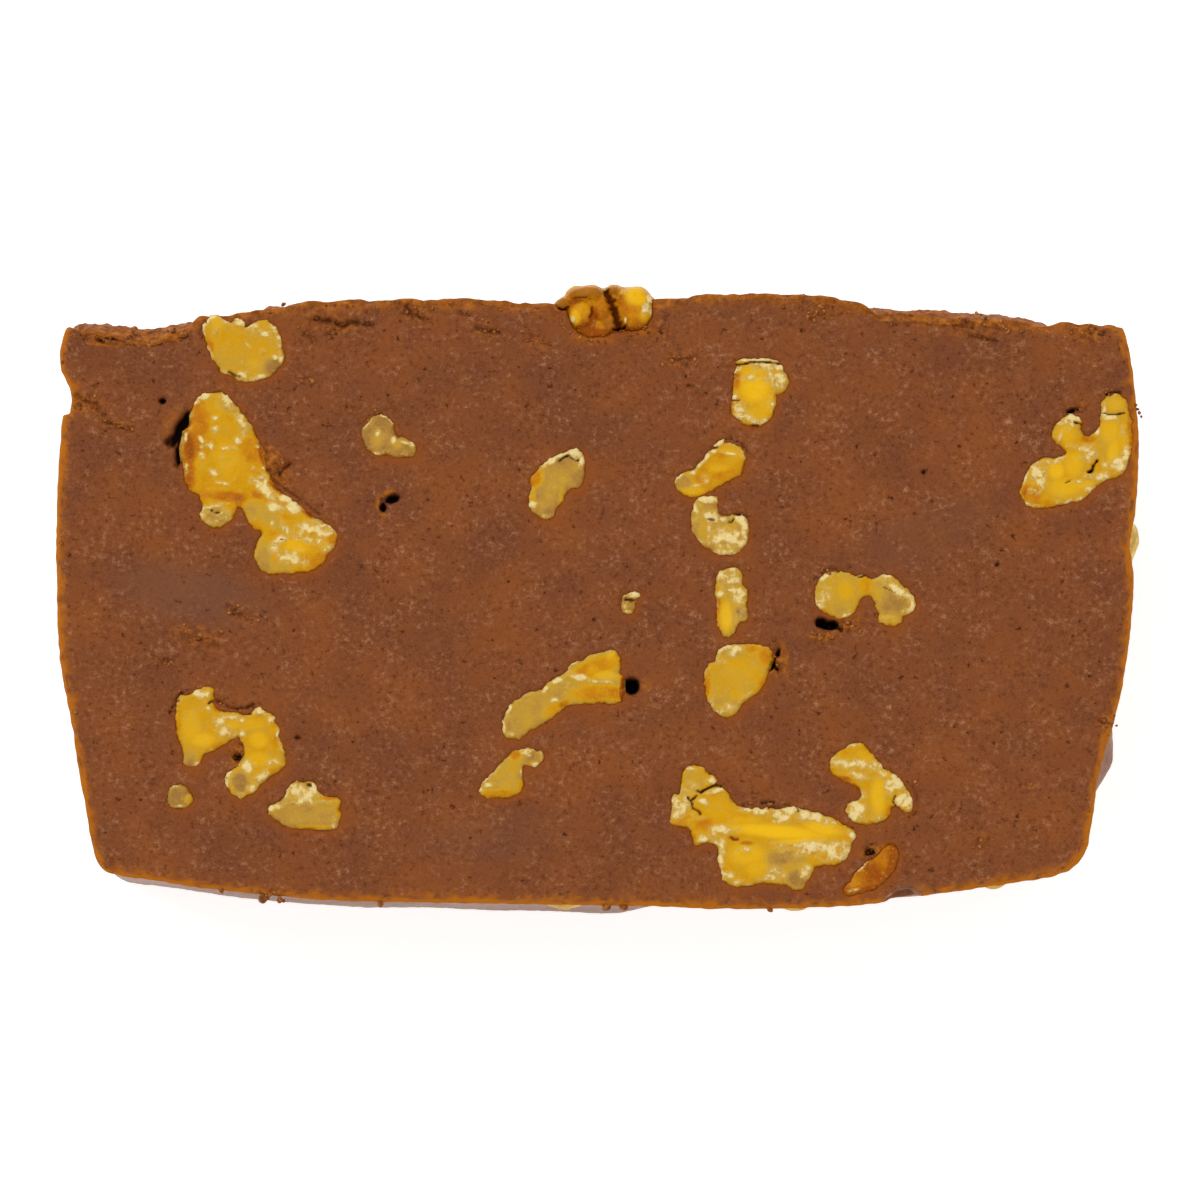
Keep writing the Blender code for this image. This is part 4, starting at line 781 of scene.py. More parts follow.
nutShape = {
    "voxel": 0.12,    # of the front pieces
    "coarse": 0.34,    # of pieces in the walls, before the second remesh
    "hidden": 0.24,    # of pieces away from the front
    "level": -0.08,    # how far the cut lies under the blade's plane
    "skirt": 0.2, "skirtSlope": 3.0,    # each piece runs on a little under the fudge
    "roll": 0.24, "rollWidth": 0.12,    # the cut edge is rubbed round
    "rimDepth": 0.45, "depthRise": 1.9,    # how thick a piece is at its edge, and how that grows inwards
    "reach": 2.5,    # an outline is worked out only this near to it
    # below, a pair is a height and the size of its waves
    "ragged": 0.13, "raggedSize": 0.42, "raggedFine": (0.5, 0.2),
    "relief": (0.22, 2.4), "wobble": (0.26, 0.8),
    "cutWave": (0.10, 1.3),
    "flakeHeight": 0.20, "flakeBase": 0.5, "flakeSize": 0.42, "flakeFine": (0.6, 0.2), "flakeSoft": 0.9,
    "litEdgeHighlight": 0.42, "litAndShadedEdgeWidth": 0.22,    # cream flake colour along a piece's lit edge, a painted highlight, and the width of that band and of the painted shade along the other edge
    "toneWave": (0.10, 1.8), "toneSoft": 0.5,
    "skinWave": (0.25, 0.5), "skinSoft": 0.4, "skinGap": 0.06,
    "lightShift": (-0.18, 0.22, 0.0),    # towards the light, to tell an edge's lit side
    "lightSharp": 2.2, "evenLight": 0.5,
    "lobesApart": 0.5, "lobes": (0.72, 0.66),    # pieces in the walls are three balls
    "wallRim": 0.4, "wallRimWave": (0.9, 1.5),
    "backTone": 0.36, "backDryness": 0.35,
}
crackShape = {
    "reach": 6.0,    # a crack is worked out only this near its middle
    "waverSize": 0.4,
    "core": 0.4, "fade": 1.5,    # fully deep and gone, in half widths
}
farAway = 9.0    # millimetres, for what is out of reach


def gapTo(spots, start, end):
    # how far each spot is from the straight stretch between two points
    span = end - start
    share = np.clip(((spots - start) @ span) / (span @ span), 0.0, 1.0)
    return np.linalg.norm(spots - start - share[:, None] * span, axis=1)


def outlineDepth(points, outline):
    # millimetres inside a closed outline, below zero outside it, with a ragged border
    corners, reach = np.array(outline), nutShape["reach"]
    depth = np.full(len(points), -farAway)
    near = (points[:, :2] > corners.min(axis=0) - reach) & (points[:, :2] < corners.max(axis=0) + reach)
    close = np.nonzero(near.all(axis=1))[0]
    spots = points[close, :2]
    nearest, inside = np.full(len(close), farAway), np.zeros(len(close), dtype=bool)
    for start, end in zip(corners, np.roll(corners, -1, axis=0)):
        nearest = np.minimum(nearest, gapTo(spots, start, end))
        crosses = (start[1] > spots[:, 1]) != (end[1] > spots[:, 1])
        run, rise = end - start
        if abs(rise) < 1e-9:
            rise = 1e-9
        inside ^= crosses & (spots[:, 0] < start[0] + (spots[:, 1] - start[1]) * run / rise)
    flatSpots = points[close] * (1.0, 1.0, 0.0)
    ragged = noiseAt(flatSpots, nutShape["raggedSize"], 3.3) + swell(flatSpots, nutShape["raggedFine"], 8.6)
    depth[close] = np.where(inside, nearest, -nearest) + nutShape["ragged"] * ragged
    return depth


def nutDepth(inside):
    return nutShape["rimDepth"] + nutShape["depthRise"] * np.sqrt(np.maximum(inside, 0.0))


def edgeRoll(inside, roll):
    return roll * np.exp(-np.maximum(inside, 0.0) / nutShape["rollWidth"])


def cutPlate(name, outline, skirt, voxel):
    # a plate of the outline, 1 mm thick, meshed evenly: its top at 0 and its underside at -1
    corners = np.array(outline)
    corners = corners + outwardOf(corners, 1, skirt)
    pickOnly()
    bpy.ops.mesh.primitive_circle_add(vertices=len(corners), radius=1.0, fill_type="NGON",
                                      location=(0.0, 0.0, 0.0))
    plate = bpy.context.object
    plate.name = name
    writePoints(plate, np.column_stack([corners, np.zeros(len(corners))]))
    bpy.ops.object.mode_set(mode="EDIT")
    bpy.ops.mesh.select_all(action="SELECT")
    bpy.ops.mesh.extrude_region_move(TRANSFORM_OT_translate={"value": (0.0, 0.0, -1.0)})
    bpy.ops.object.mode_set(mode="OBJECT")
    turnOutward(plate)
    applyModifier(plate, "REMESH", {"mode": "VOXEL", "voxel_size": voxel})
    return plate


def joinBalls(name, balls):
    # ellipsoids given as middle and half sizes, joined in one object
    made = []
    for middle, half in balls:
        pickOnly()
        bpy.ops.mesh.primitive_uv_sphere_add(segments=40, ring_count=20, radius=1.0,
                                             location=middle, scale=half)
        made.append(bpy.context.object)
    pickOnly(*made)
    bpy.ops.object.join()
    nut = bpy.context.object
    nut.name = name
    bpy.ops.object.transform_apply(location=True, rotation=True, scale=True)
    return nut


def fuseBalls(nut):
    applyModifier(nut, "REMESH", {"mode": "VOXEL", "voxel_size": nutShape["coarse"]})
    applyModifier(nut, "SMOOTH", {"factor": 0.5, "iterations": 4})
    points, facing = readPoints(nut), readNormals(nut)
    relief = swell(points, nutShape["relief"]) + swell(points, nutShape["wobble"], 3.3)
    writePoints(nut, points + facing * relief[:, None])
    applyModifier(nut, "REMESH", {"mode": "VOXEL", "voxel_size": nutShape["hidden"]})


def crackField(points, line, width):
    # 1 in the middle of a crack and 0 beside it
    line = np.array(line)
    nearest = np.full(len(points), farAway)
    fromMiddle = np.linalg.norm(points[:, :2] - line.mean(axis=0), axis=1)
    close = np.nonzero(fromMiddle < crackShape["reach"])[0]
    spots, gap = points[close, :2], nearest[close]
    for start, end in zip(line, line[1:]):
        gap = np.minimum(gap, gapTo(spots, start, end))
    nearest[close] = gap + swell(points[close] * (1.0, 1.0, 0.0), (width, crackShape["waverSize"]), 3.9)
    return 1.0 - smoothStep(width * crackShape["core"], width * crackShape["fade"], nearest)


def shiftBy(points, patches, soft):
    total = np.zeros(len(points))
    for patch in patches:
        total += patch[5] * (1.0 - smoothStep(1.0 - soft, 1.0 + soft, patchRadius(points, patch)))
    return total


def flakeNut(nut, look, points, inside, lit, top):
    # The field says where flakes are likely. The material draws their ragged borders.
    # Each piece gets cream flake colour along its lit edge as a painted highlight, and a darker amber along
    # the other edge as painted shade.
    rim = np.exp(-np.maximum(inside, 0.0) / nutShape["litAndShadedEdgeWidth"])
    field = patchField(points, look["flakes"], nutShape["flakeSoft"])
    # painted highlight: cream flake colour along the lit edge
    field = field + look.get("litEdgeHighlight", nutShape["litEdgeHighlight"]) * rim * lit
    tone = look["tone"] + swell(points, nutShape["toneWave"], 2.7)
    tone = tone + shiftBy(points, look["toned"], nutShape["toneSoft"])
    wave = swell(points, nutShape["cutWave"], 8.8)
    grit = nutShape["flakeBase"] + noiseAt(points, nutShape["flakeSize"], 7.7)
    grit = grit + swell(points, nutShape["flakeFine"], 5.3)
    lift = (wave + field * nutShape["flakeHeight"] * grit) * top
    creaseShade = np.zeros(len(points))
    for line, width, depth in look.get("cuts", []):
        split = crackField(points, line, width)
        lift -= depth * split * top
        creaseShade = np.maximum(creaseShade, split)
    skin = patchField(points, look.get("skin", []), nutShape["skinSoft"])
    skin = skin + swell(points, nutShape["skinWave"], 6.1) - nutShape["skinGap"]
    writePoints(nut, readPoints(nut) + np.column_stack([np.zeros((len(points), 2)), lift]))
    paint(nut, "flake", field)
    paint(nut, "tone", tone)
    paint(nut, "bright", patchField(points, look.get("bright", [])))
    # painted shade: darker amber along the edge away from the light
    paint(nut, "edge", rim * (1.0 - lit))
    paint(nut, "creaseShade", creaseShade)
    paint(nut, "skin", skin)


def plainLook(x, y, tone, dryness):
    # one tone, and one patch of flakes that covers the whole piece
    return {"tone": tone, "toned": [], "flakes": [(x, y, farAway, farAway, 0, dryness)]}


def formHeight(points, forms):
    # rounded lobes that stand over the cut
    height = np.zeros(len(points))
    for form in forms:
        dome = np.sqrt(np.clip(1.0 - patchRadius(points, form) ** 2, 0.0, 1.0))
        height = np.maximum(height, form[5] * dome)
    return height


def litSide(points, inside, outline):
    ahead = outlineDepth(points + nutShape["lightShift"], outline)
    return np.clip(nutShape["evenLight"] - nutShape["lightSharp"] * (ahead - inside), 0.0, 1.0)


dressed = {}
for nutName, look in cutNuts.items():
    nut = cutPlate(nutName, look["outline"], nutShape["skirt"], nutShape["voxel"])
    points = readPoints(nut)
    inside = outlineDepth(points, look["outline"])
    height = look.get("level", nutShape["level"]) + formHeight(points, look.get("forms", []))
    height -= edgeRoll(inside, look.get("roll", nutShape["roll"]))
    height -= nutShape["skirtSlope"] * np.maximum(-inside, 0.0)
    under = np.clip(-points[:, 2], 0.0, 1.0)
    points[:, 2] = slab["thickness"] + height - under * nutDepth(inside)
    writePoints(nut, points)
    applyModifier(nut, "SMOOTH", {"factor": 0.3, "iterations": 1})
    flakeNut(nut, look, points, inside, litSide(points, inside, look["outline"]), under < 0.5)
    dressed[nutName] = nut
print("front walnut pieces:", len(dressed))

for nutName, (x, y, depth, halfX, halfY, halfZ, tone, dryness) in wallNuts.items():
    middle, half = Vector((x, y, slab["thickness"] - depth)), Vector((halfX, halfY, halfZ))
    reach = half * nutShape["lobesApart"]
    reach[0 if halfX < halfY else 1] = 0.0
    second, third = nutShape["lobes"]
    nut = joinBalls(nutName, [(middle, half), (middle + reach, half * second),
                              (middle - Vector((reach.x, reach.y, -reach.z)), half * third)])
    fuseBalls(nut)
    points = readPoints(nut)
    rim = nutShape["wallRim"] - swell(points, nutShape["wallRimWave"], 2.2)
    flakeNut(nut, plainLook(x, y, tone, dryness), points, rim, nutShape["evenLight"], 0.0)
    dressed[nutName] = nut

for nutName, (form, x, y, turn) in backNuts.items():
    corners, swing = np.array(cutNuts[form]["outline"]), math.radians(turn)
    corners = corners - corners.mean(axis=0)
    outline = np.column_stack([x + corners[:, 0] * math.cos(swing) - corners[:, 1] * math.sin(swing),
                               y + corners[:, 0] * math.sin(swing) + corners[:, 1] * math.cos(swing)])
    nut = cutPlate(nutName, outline, 0.0, nutShape["hidden"])
    points = readPoints(nut)
    inside = outlineDepth(points, outline)
    over = np.clip(1.0 + points[:, 2], 0.0, 1.0)
    points[:, 2] = over * nutDepth(inside) + (over < 0.5) * edgeRoll(inside, nutShape["roll"])
    writePoints(nut, points)
    look = plainLook(x, y, nutShape["backTone"], nutShape["backDryness"])
    flakeNut(nut, look, points, inside, nutShape["evenLight"], 0.0)
    dressed[nutName] = nut
print("all walnut pieces:", len(dressed))


def traceOutline():
    # a smooth closed curve through the stations, and the way out at each of its points
    stations = [np.array(spot) for spot in
                slab["topEdge"] + slab["rightEdge"] + slab["bottomEdge"] + slab["leftEdge"]]
    count = len(stations)
    spans = [np.linalg.norm(stations[(i + 1) % count] - stations[i]) for i in range(count)]
    tangents = [(stations[(i + 1) % count] - stations[i - 1]) / (spans[i] + spans[i - 1])
                for i in range(count)]
    points = []
    for i in range(count):
        after = (i + 1) % count
        for t in np.linspace(0.0, 1.0, max(2, round(spans[i] / slab["step"])), endpoint=False):
            points.append(stations[i] * (2 * t ** 3 - 3 * t ** 2 + 1)
                          + stations[after] * (3 * t ** 2 - 2 * t ** 3)
                          + tangents[i] * spans[i] * (t ** 3 - 2 * t ** 2 + t)
                          + tangents[after] * spans[i] * (t ** 3 - t ** 2))
    return np.array(points), outwardOf(np.array(points), slab["smoothing"])


rimPoints, rimOutward = traceOutline()
rimTree = kdtree.KDTree(len(rimPoints))
for place, spot in enumerate(rimPoints):
    rimTree.insert((spot[0], spot[1], 0.0), place)
rimTree.balance()
cornerAt = [rimTree.find((x, y, 0.0))[1] for x, y in slab["corners"]]


def nearestRim(points):
    # how far each point is from the outline, and which way is out there
    found = [rimTree.find((x, y, 0.0)) for x, y in points[:, :2]]
    return np.array([hit[2] for hit in found]), rimOutward[[hit[1] for hit in found]]


def alongSide(side, shares):
    # places on the top, right, bottom or left side, clockwise, by share of its length
    first, last = cornerAt[side], cornerAt[(side + 1) % 4]
    if last < first:
        last += len(rimPoints)
    stretch = rimPoints[np.arange(first, last + 1) % len(rimPoints)]
    run = np.concatenate([[0.0], np.cumsum(np.linalg.norm(np.diff(stretch, axis=0), axis=1))])
    return np.column_stack([np.interp(shares * run[-1], run, stretch[:, axis]) for axis in (0, 1)])


def stretchOver(u, v):
    # the unit square stretched between the four curved sides
    topLeft, topRight, bottomRight, bottomLeft = rimPoints[cornerAt]
    a, b = u[:, None], v[:, None]
    straight = ((1 - a) * (1 - b) * bottomLeft + a * (1 - b) * bottomRight
                + (1 - a) * b * topLeft + a * b * topRight)
    return ((1 - b) * alongSide(2, 1.0 - u) + b * alongSide(0, u)
            + (1 - a) * alongSide(3, v) + a * alongSide(1, 1.0 - v) - straight)


walls = {
    "edgeBand": 2.5,    # depth where the walls' own unevenness is full
    "wave": 0.5, "waveSize": 9.0,    # of the moulded sides
    "crust": 1.0, "crustSize": 5.0, "crumb": 0.5, "crumbSize": 2.1,    # of the top side
    "backEdge": 0.5, "backBand": 1.4,    # the back edge is rubbed off a little
    "draft": 0.9, "draftStart": (1.0, 6.0),    # the bottom side leans in towards the back, right of these x
    "grit": 0.16, "gritSize": 1.1, "gritFine": 0.6, "gritFineShare": 0.4, "gritOfSides": 0.35,
    "rimWobble": 0.10, "rimWobbleSize": 0.9,
    # where the top edge is worn: from, to, how far back
    "worn": [(-53.0, -37.0, 1.4), (-37.0, -28.0, 0.5), (24.0, 43.0, 0.9)],
    "wornEase": 2.0, "wornLeast": 0.7, "wornMore": 0.6,
    "held": 0.8, "heldFrom": (0.2, 1.0), "heldDepth": (9.0, 4.0),    # the crust behind a worn edge
    # over pieces in the side walls: x, y, depth, height, size
    "bumps": [(46.7, -14.5, 7.5, 1.3, 2.7), (-49.5, 18.9, 9.0, 0.9, 2.2)],
}


def topsideAt(outward):
    # 1 on the crusted top side, 0 on the moulded sides
    return smoothStep(0.5, 0.9, outward[:, 1])


def wearAt(x):
    worn, ease = np.zeros(len(x)), walls["wornEase"]
    for start, end, inset in walls["worn"]:
        rising, falling = smoothStep(start, start + ease, x), 1.0 - smoothStep(end - ease, end, x)
        worn = np.maximum(worn, inset * rising * falling)
    return worn


def pushWall(places, outward):
    # the solid's own uneven walls, with grit added. Each place is x, y and depth.
    x, depth = places[:, 0], places[:, 2]
    below, topside = smoothStep(0.0, walls["edgeBand"], depth), topsideAt(outward)
    worn = wearAt(x)
    # where the front edge is rubbed off, the crust behind it still reaches the outline
    held = 1.0 - walls["held"] * smoothStep(*walls["heldFrom"], worn) * smoothStep(*walls["heldDepth"], depth)
    crumbled = hollowAt(places, walls["crumbSize"])
    push = -below * (1.0 - topside) * walls["wave"] * hollowAt(places, walls["waveSize"])
    push -= below * topside * held * (walls["crust"] * hollowAt(places, walls["crustSize"])
                                      + walls["crumb"] * crumbled)
    push -= (1.0 - below) * topside * worn * (walls["wornLeast"] + walls["wornMore"] * crumbled)
    push -= walls["backEdge"] * smoothStep(slab["thickness"] - walls["backBand"], slab["thickness"], depth)
    draft = (outward[:, 1] < -0.5) * walls["draft"] * smoothStep(*walls["draftStart"], x)
    push -= draft * depth / slab["thickness"]
    for bumpX, bumpY, bumpDepth, height, size in walls["bumps"]:
        gap = np.linalg.norm(places - np.array([bumpX, bumpY, bumpDepth]), axis=1)
        push += height * np.exp(-(gap / size) ** 2)
    fine = noiseAt(places, walls["gritFineShare"] * walls["gritSize"], 1.9)
    grit = noiseAt(places, walls["gritSize"], 6.6) + walls["gritFine"] * fine
    push += walls["rimWobble"] * (1.0 - below) * noiseAt(places * (1, 1, 0), walls["rimWobbleSize"], 5.2)
    return push + walls["grit"] * (walls["gritOfSides"] + topside) * grit * below


face = {
    # holes: x, y, half length, half width, turn, depth
    "pits": [
        (-38.9, 15.9, 2.1, 0.62, 62, 1.7), (-39.6, 15.0, 1.1, 0.45, 35, 1.2),
        (-38.95, 13.9, 1.7, 0.42, 82, 1.9), (-19.3, 9.4, 0.8, 0.45, 20, 1.8),
        (-20.1, 8.6, 0.35, 0.5, 0, 1.7), (-40.6, 18.5, 0.36, 0.32, 0, 1.5), (2.9, -8.0, 0.9, 0.8, 0, 3.0),
        (21.1, -2.3, 1.15, 0.5, -10, 3.0), (20.5, -2.1, 0.7, 0.5, 0, 2.4),
        (22.2, -2.7, 0.5, 0.25, -30, 1.2), (16.55, -4.9, 0.45, 0.22, 75, 1.6),
        (15.85, -6.1, 0.65, 0.33, 70, 2.0), (16.4, -6.4, 0.4, 0.2, -30, 1.2),
        (43.9, 17.6, 0.7, 0.27, 10, 1.3), (25.0, -23.4, 0.6, 0.35, 10, 1.2),
        (-33.5, -14.6, 0.6, 0.45, 0, 1.2), (36.8, 3.3, 0.3, 0.2, 40, 0.7), (37.2, 4.6, 0.25, 0.2, 0, 0.6),
        (30.0, 11.9, 0.3, 0.25, 0, 0.8), (-28.0, -12.8, 0.3, 0.25, 0, 0.8), (28.1, -27.8, 1.8, 1.0, 8, 1.7),
        (-45.2, 25.1, 0.8, 0.35, -10, 1.0), (-46.3, 24.5, 0.5, 0.3, -30, 0.8)],
    # cracks: their points, half width and depth
    "cracks": [
        ([(-26.4, 26.2), (-25.2, 26.0), (-23.9, 25.5), (-23.0, 25.9), (-21.2, 25.6)], 0.22, 0.8),
        ([(-27.7, 24.7), (-27.0, 24.5), (-26.3, 24.1)], 0.16, 0.5),
        ([(-25.4, 24.7), (-24.4, 24.7)], 0.14, 0.4),
        ([(-18.0, 27.0), (-16.8, 26.3), (-16.0, 26.1)], 0.18, 0.6),
        ([(-13.2, 26.7), (-12.0, 26.5)], 0.16, 0.5),
        ([(-11.5, 25.3), (-10.4, 25.0), (-9.5, 24.9)], 0.18, 0.6),
        ([(6.6, 22.3), (7.6, 22.5), (8.6, 22.3)], 0.18, 0.6),
        ([(20.0, 26.7), (21.2, 26.5), (22.6, 26.6)], 0.16, 0.5),
        ([(33.0, 26.0), (34.4, 25.8)], 0.15, 0.5),
        ([(34.5, 24.8), (35.8, 24.4), (37.0, 24.2)], 0.18, 0.6),
        ([(-48.5, 19.0), (-47.2, 18.2), (-46.0, 17.2)], 0.2, 0.6),
        ([(-46.2, 16.6), (-44.8, 16.2), (-43.5, 15.7)], 0.16, 0.5),
        ([(-38.4, -3.1), (-37.2, -3.8), (-36.4, -3.6)], 0.16, 0.45),
        ([(-34.4, -0.6), (-33.4, -1.2), (-32.2, -1.9)], 0.16, 0.45),
        ([(-40.6, -5.5), (-39.6, -5.8)], 0.16, 0.4),
        ([(45.4, 11.9), (45.8, 12.5), (46.1, 13.0)], 0.14, 0.5),
        ([(-29.7, 11.6), (-29.3, 12.3), (-28.7, 12.6)], 0.2, 0.7),
        # gaps where the fudge has come away from a walnut piece
        ([(-39.9, -10.6), (-39.4, -9.8), (-39.2, -9.1), (-38.6, -8.6)], 0.12, 0.6),
        ([(-35.5, -9.4), (-34.5, -9.85), (-33.7, -10.1), (-32.6, -9.95), (-32.0, -9.7)], 0.14, 0.7),
        ([(13.2, -19.05), (14.5, -19.1), (16.2, -19.15), (17.6, -19.0)], 0.1, 0.5),
        ([(14.9, -18.85), (15.5, -18.8), (16.1, -18.85)], 0.14, 0.8),
        ([(19.5, 1.7), (20.2, 2.2), (21.0, 2.8), (22.4, 2.95), (23.2, 2.85)], 0.1, 0.5),
        ([(-22.3, 16.2), (-21.7, 16.6), (-21.4, 17.2), (-20.9, 17.4), (-20.2, 17.4)], 0.08, 0.35),
        ([(47.0, 19.15), (47.6, 19.35), (48.3, 19.3)], 0.14, 0.8),
        ([(-30.8, 12.0), (-30.0, 10.9), (-29.1, 10.2), (-28.0, 9.5), (-27.1, 8.8),
          (-26.0, 7.9)], 0.14, 0.6),
        ([(28.9, -17.2), (29.25, -18.0), (29.35, -18.9), (29.2, -19.8), (28.5, -20.15)], 0.1, 0.5),
        ([(11.7, 15.0), (12.3, 14.95), (13.0, 14.6), (13.5, 14.1), (13.8, 13.4)], 0.1, 0.5),
        ([(-36.9, 24.3), (-37.1, 25.2), (-36.8, 26.0), (-36.2, 26.6), (-35.4, 26.75)], 0.12, 0.5)],
    # crumbly and smeared patches: x, y, half length, half width, turn, strength
    "crumbly": [
        (-47.6, 18.3, 1.5, 1.0, -20, 0.8), (-44.7, 16.2, 1.8, 0.6, -8, 0.6),
        (-25.0, 25.6, 3.0, 1.0, -8, 0.6), (-17.0, 26.5, 2.0, 0.8, -20, 0.6),
        (-10.6, 25.2, 1.8, 0.8, -5, 0.6), (7.6, 22.4, 1.8, 0.9, 0, 0.55), (21.0, 26.7, 2.4, 0.7, 0, 0.5),
        (34.4, 25.6, 3.2, 1.1, -8, 0.6), (45.2, 24.6, 1.6, 0.9, 0, 0.7), (-37.4, -3.4, 2.6, 1.1, -15, 0.6),
        (-33.2, -1.3, 1.8, 0.8, -30, 0.5), (-40.0, -5.7, 1.2, 0.6, 0, 0.5),
        (-30.2, 12.6, 1.1, 2.4, 28, 0.9), (-27.4, 20.6, 0.9, 0.4, -10, 0.6),
        (-6.0, 24.2, 1.4, 0.8, -30, 0.6), (5.6, 25.4, 1.0, 1.4, 0, 0.6), (16.4, -5.6, 0.9, 1.6, -10, 0.9),
        (22.9, -2.4, 1.5, 0.6, 15, 1.0), (20.7, -3.4, 1.3, 0.5, -5, 1.0), (-33.4, -14.4, 0.8, 1.5, 10, 0.9),
        (39.5, -17.2, 0.8, 0.5, 0, 0.6), (35.4, -22.2, 1.0, 0.6, 20, 0.6), (46.8, -11.4, 0.9, 0.8, 0, 0.9),
        (-30.5, -27.4, 1.6, 0.6, -8, 0.9), (25.0, -23.2, 1.0, 0.6, 10, 0.9),
        (13.4, 7.9, 1.0, 0.6, -20, 0.4), (44.2, 18.0, 1.2, 0.5, 5, 0.5), (-45.5, 24.6, 3.0, 0.7, -3, 0.8),
        (-40.0, 24.9, 2.6, 0.5, 8, 0.6)],
    "smeared": [
        (-38.0, 0.5, 6.5, 2.6, -12, 1.0), (30.0, 6.0, 7.0, 2.5, 20, 0.4), (-10.0, -22.0, 7.0, 2.2, 8, 0.4)],
    # below, a pair is a height and the size of its waves
    "level": 0.12, "wave": (0.12, 13.0), "ripple": (0.05, 2.6), "grain": (0.03, 0.75),
    "roughLevel": 0.08, "rough": (0.26, 0.8), "roughFine": (0.14, 0.4),    # of the crumbly patches
    "rimDrop": 0.38, "rimWidth": 0.28, "rimLeast": 0.9, "rimWave": (0.8, 1.6),
    "topBand": 1.7, "topBandFull": 0.2,    # the torn band under the top edge
    "topTear": 0.30, "tearLeast": 0.35, "tearMore": 1.5,
    "tearGrain": (0.45, 1.5, 1.0), "tearSize": 0.9,
    "tearFineGrain": (0.6, 1.3, 1.0), "tearFine": (0.5, 0.45),
    "pitRagged": (0.24, 0.7), "pitWall": (0.55, 1.15),
    "pocketShare": 0.7, "pocketInset": 0.04, "pocketSlope": 6.0, "pocketLip": 0.1,
    "scoop": [(28.1, -27.7, 2.0, 1.15, 8, 1.0)],    # a glossy brown hollow in the bottom edge
    # amber marks round pits, cracks and the crown's pocket, added to the rim mark: x, y, half length, half
    # width, turn, strength
    "amber": [
        (-19.6, 10.0, 1.0, 0.2, 25, 0.8), (-20.6, 8.9, 0.18, 0.6, 0, 0.8), (-20.1, 7.7, 0.15, 0.5, 0, 0.9),
        (-46.0, 24.1, 1.6, 0.22, -3, 0.8), (-39.9, 16.6, 0.4, 1.6, -28, 0.3),
        (4.4, 24.9, 1.4, 0.3, 10, 0.5), (-0.6, 24.2, 2.2, 0.3, -5, 0.5), (20.7, -3.4, 1.2, 0.35, -5, 0.8),
        (23.2, -2.3, 0.7, 0.4, 10, 0.6), (16.9, -5.6, 0.5, 1.2, 0, 0.5), (-33.6, -14.2, 0.6, 1.2, 10, 0.6),
        (25.6, -23.2, 1.6, 0.3, 20, 0.7), (-30.0, 12.2, 0.8, 1.8, 28, 0.5), (4.2, -8.0, 0.4, 0.7, 0, 0.4)],
}


def topBandAt(apart, outward):
    return smoothStep(face["topBand"], face["topBandFull"], apart) * topsideAt(outward)


def sinkFace(points, apart, outward):
    # how far each point of the cut face lies under the blade's plane
    sink = face["level"] + swell(points, face["wave"], 3.1)
    sink += swell(points, face["ripple"], 7.3) + swell(points, face["grain"])
    rough = face["roughLevel"] + swell(points, face["rough"], 4.4) + swell(points, face["roughFine"], 9.1)
    sink += patchField(points, face["crumbly"]) * rough
    rimRough = face["rimLeast"] + swell(points, face["rimWave"], 2.2)
    sink += face["rimDrop"] * np.exp(-apart / face["rimWidth"]) * rimRough
    torn = noiseAt(points * face["tearGrain"], face["tearSize"], 6.2)
    torn = torn + swell(points * face["tearFineGrain"], face["tearFine"], 1.2)
    sink += topBandAt(apart, outward) * face["topTear"] * (face["tearLeast"] + face["tearMore"] * torn)
    ragged = swell(points, face["pitRagged"], 8.2)
    for pit in face["pits"]:
        floorShare = 1.0 - smoothStep(*face["pitWall"], patchRadius(points, pit) + ragged)
        sink = np.maximum(sink, pit[5] * floorShare)
    for line, width, depth in face["cracks"] + [cut for look in cutNuts.values() for cut in look["cuts"]]:
        sink = np.maximum(sink, depth * crackField(points, line, width))
    for look in cutNuts.values():
        inside = outlineDepth(points, look["outline"])
        room = face["pocketShare"] * nutDepth(inside) - look.get("level", nutShape["level"])
        inPocket = inside > face["pocketInset"]
        hollow = np.minimum(face["pocketSlope"] * (inside - face["pocketInset"]), room)
        sink[inPocket] = np.maximum(sink[inPocket], face["pocketLip"] + hollow[inPocket])
    return np.maximum(sink, 0.0)


# The block starts as a flat grid that is extruded down and closed underneath
across, up = [round(length / slab["cell"]) for length in slab["gridSize"]]
pickOnly()
bpy.ops.mesh.primitive_grid_add(x_subdivisions=across, y_subdivisions=up, size=1.0, location=(0.5, 0.5, 1.0))
fudge = bpy.context.object
fudge.name = "cut_fudge"
bpy.ops.object.transform_apply(location=True, rotation=True, scale=True)
bpy.ops.object.mode_set(mode="EDIT")
bpy.ops.mesh.select_mode(type="FACE")
bpy.ops.mesh.select_all(action="SELECT")
bpy.ops.mesh.duplicate()
bpy.ops.transform.translate(value=(0.0, 0.0, -1.0))
bpy.ops.mesh.flip_normals()
bpy.ops.mesh.select_all(action="INVERT")
bpy.ops.mesh.region_to_loop()
for ring in range(slab["rings"]):
    bpy.ops.mesh.extrude_edges_move(TRANSFORM_OT_translate={"value": (0.0, 0.0, -1.0 / slab["rings"])})
bpy.ops.mesh.select_all(action="SELECT")
bpy.ops.mesh.remove_doubles(threshold=0.0005)
bpy.ops.object.mode_set(mode="OBJECT")
unit = readPoints(fudge)
print("fudge grid:", len(unit), "points")

# Stretch it over the outline, then sink the face and push the walls
flat = stretchOver(unit[:, 0], unit[:, 1])
onFront, onBack = unit[:, 2] > 0.999, unit[:, 2] < 0.001
onRim = (np.abs(unit[:, :2] - 0.5) > 0.4999).any(axis=1)
onWall = onRim & ~onFront
points = np.column_stack([flat, np.zeros(len(flat))])
apart, outward = nearestRim(points)
apart[onRim] = 0.0
topside = topsideAt(outward)
sink = np.zeros(len(points))
sink[onFront] = sinkFace(points[onFront], apart[onFront], outward[onFront])
